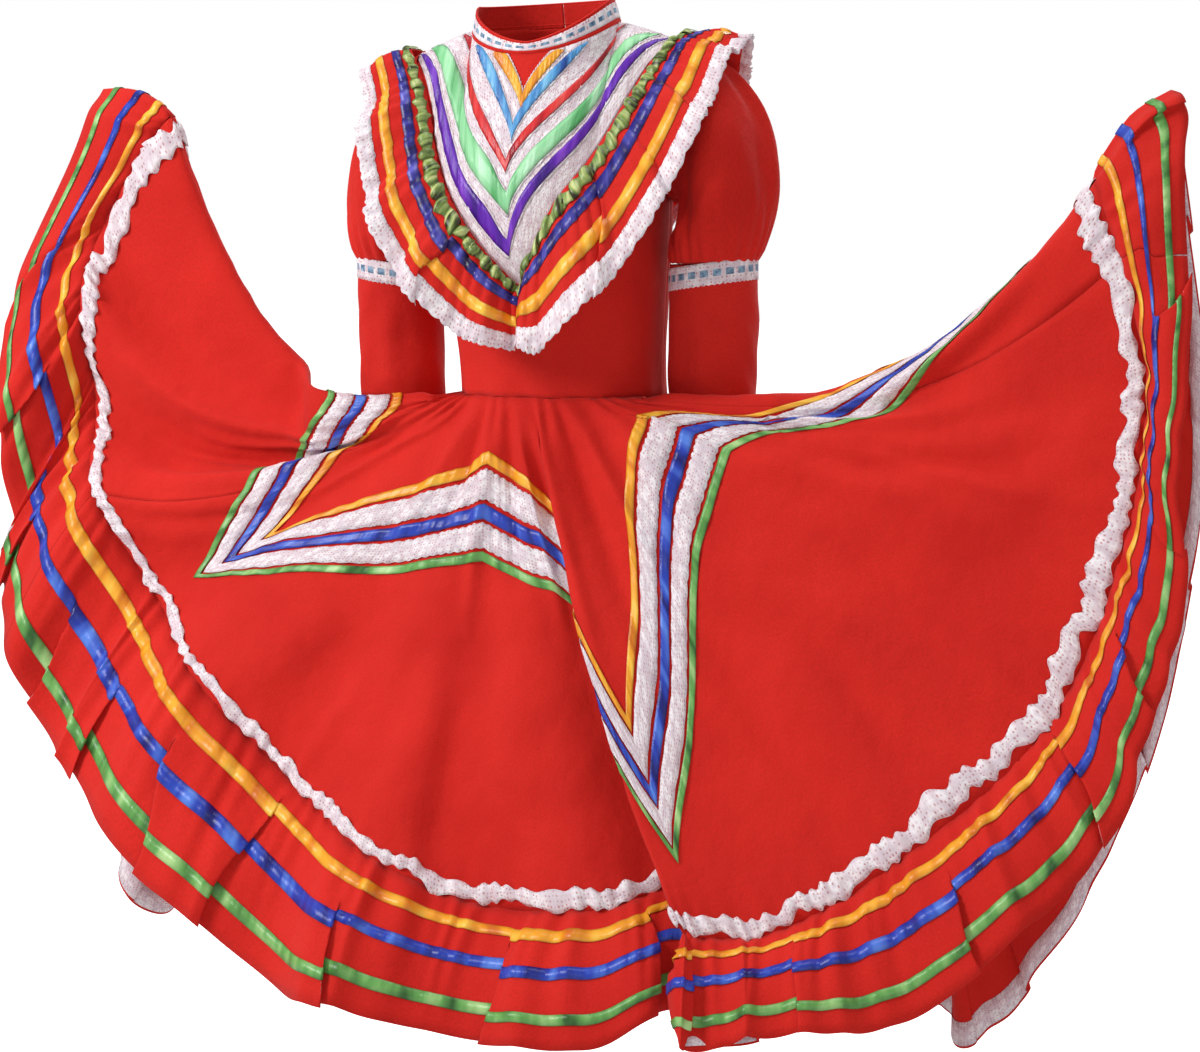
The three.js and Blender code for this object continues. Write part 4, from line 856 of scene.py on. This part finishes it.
# The lace on the inner face at the hem lies close to the cloth where a tuck folds it sharply.
hem_rows = np.linspace(0.84, 0.985, 3)[:, None]
sharp = sum(np.exp(-((beside(whole, hem_rows, centre, SWEEP, SEAM_MM) / 15) ** 2)) for centre, *_ in TUCKS)
hem_lift = -1.5 + 1.1 * np.minimum(sharp, 1)
inside = raised(flounce(whole, hem_rows), hem_lift, True)
sewn("hem_lace", inside, white, wall=0.3, closed=True)

# ---------------------------------------------------------------- lace at the head of the flounce
# A gathered white lace covers the seam between the skirt and the flounce. Its edges wander up and down
# and it stands in small puffs.

turn = np.linspace(SWEEP, 0, 3000, endpoint=False)[None, :]
a = np.radians(turn)
wander = 4.2 * np.sin(a * 30 + 2 * np.sin(a * 10)) + 2.6 * np.sin(a * 68 + 1.5 * np.sin(a * 18))
ruche = np.sin(a * 190 + 2.2 * np.sin(a * 38))
breadth = 10.0 + 2.2 * np.sin(a * 44 + 2 * np.sin(a * 16)) + 2.2 * ruche
share = np.linspace(-1, 1, 5)[:, None]
reach = 607 + wander + breadth * share
s = np.minimum(reach, LENGTH)
over = np.maximum(reach - LENGTH, 0)
stand = 3.0 + (1 - share**2) * (1.4 + 1.5 * ruche) + 1.5 * share**2 * np.sin(a * 190 + share * 1.5)
grid = raised(skirt(turn, s), stand + relief(turn, s), True)
hang = through(RIBS, turn, SWEEP)
fall = unit(hang[..., 3:6] - hang[..., :3])
grid = grid + fall * over[..., None]
sewn("flounce_head_lace", grid, white, wall=0.4, closed=True, replaces=["flounce_head_lace"])

for name, _ in HALF_CIRCLES:
    strip, held_by = cloth[f"flounce_{name}"], [f"skirt_{name}"]

# ---------------------------------------------------------------- floor, light and camera
# A white floor and a white room, a large key from the left front that rakes the folds, and a weaker
# fill.

floor = bpy.data.meshes.new("floor")
reach, level = 30, -1.47  # metres
corners = [(-reach, -reach, level), (reach, -reach, level), (reach, reach, level), (-reach, reach, level)]
floor.from_pydata(corners, [], [(0, 1, 2, 3)])
studio = bpy.data.objects.new("floor", floor)
bpy.context.scene.collection.objects.link(studio)
paper, paper_tree, paper_shader = blank("paper", 0.95, 0.0, 0.0)
paper_shader.inputs["Base Color"].default_value = srgb(232, 232, 232)
paper_shader.inputs["Emission Color"].default_value = (1, 1, 1, 1)
paper_tree.links.new(node(paper_tree, "LightPath", {}), paper_shader.inputs["Emission Strength"])
floor.materials.append(paper)

for name, at, aim, size, power in [
    ("key", (-2.5, -2.1, 1.3), (0, 0, -0.55), 1.1, 98),
    ("fill", (2.6, -3.2, 0.2), (0, 0, -0.6), 2.4, 24),
    ("top", (0.2, 0.2, 2.4), (0, 0, -0.5), 1.6, 30),
    ("back", (1.2, 4.2, 1.2), (0, 0, -0.6), 2.2, 70),
]:
    lamp = bpy.data.lights.new(name, "AREA")
    lamp.energy, lamp.size = power, size
    light = bpy.data.objects.new(name, lamp)
    light.location = at
    light.rotation_euler = (Vector(aim) - Vector(at)).to_track_quat("-Z", "Y").to_euler()
    bpy.context.scene.collection.objects.link(light)
world = bpy.data.worlds.new("studio")
bpy.context.scene.world = world
world.use_nodes = True
world.node_tree.nodes["Background"].inputs[0].default_value = (1, 1, 1, 1)
seen = node(world.node_tree, "LightPath", {})
white_room = math_node(world.node_tree, "MULTIPLY", seen, 0.64)
white_room = math_node(world.node_tree, "ADD", white_room, 0.36)
world.node_tree.links.new(white_room, world.node_tree.nodes["Background"].inputs[1])
bpy.context.scene.view_settings.view_transform = "Standard"

camera = bpy.data.objects.new("camera", bpy.data.cameras.new("camera"))
camera.location = (1.17524, -3.28553, -0.19845)
toward = Vector((0.07437, -0.08839, -0.55385)) - camera.location
camera.rotation_euler = toward.to_track_quat("-Z", "Y").to_euler()
camera.data.sensor_fit, camera.data.sensor_width, camera.data.lens = "HORIZONTAL", 36, 90.27
bpy.context.scene.collection.objects.link(camera)
bpy.context.scene.camera = camera
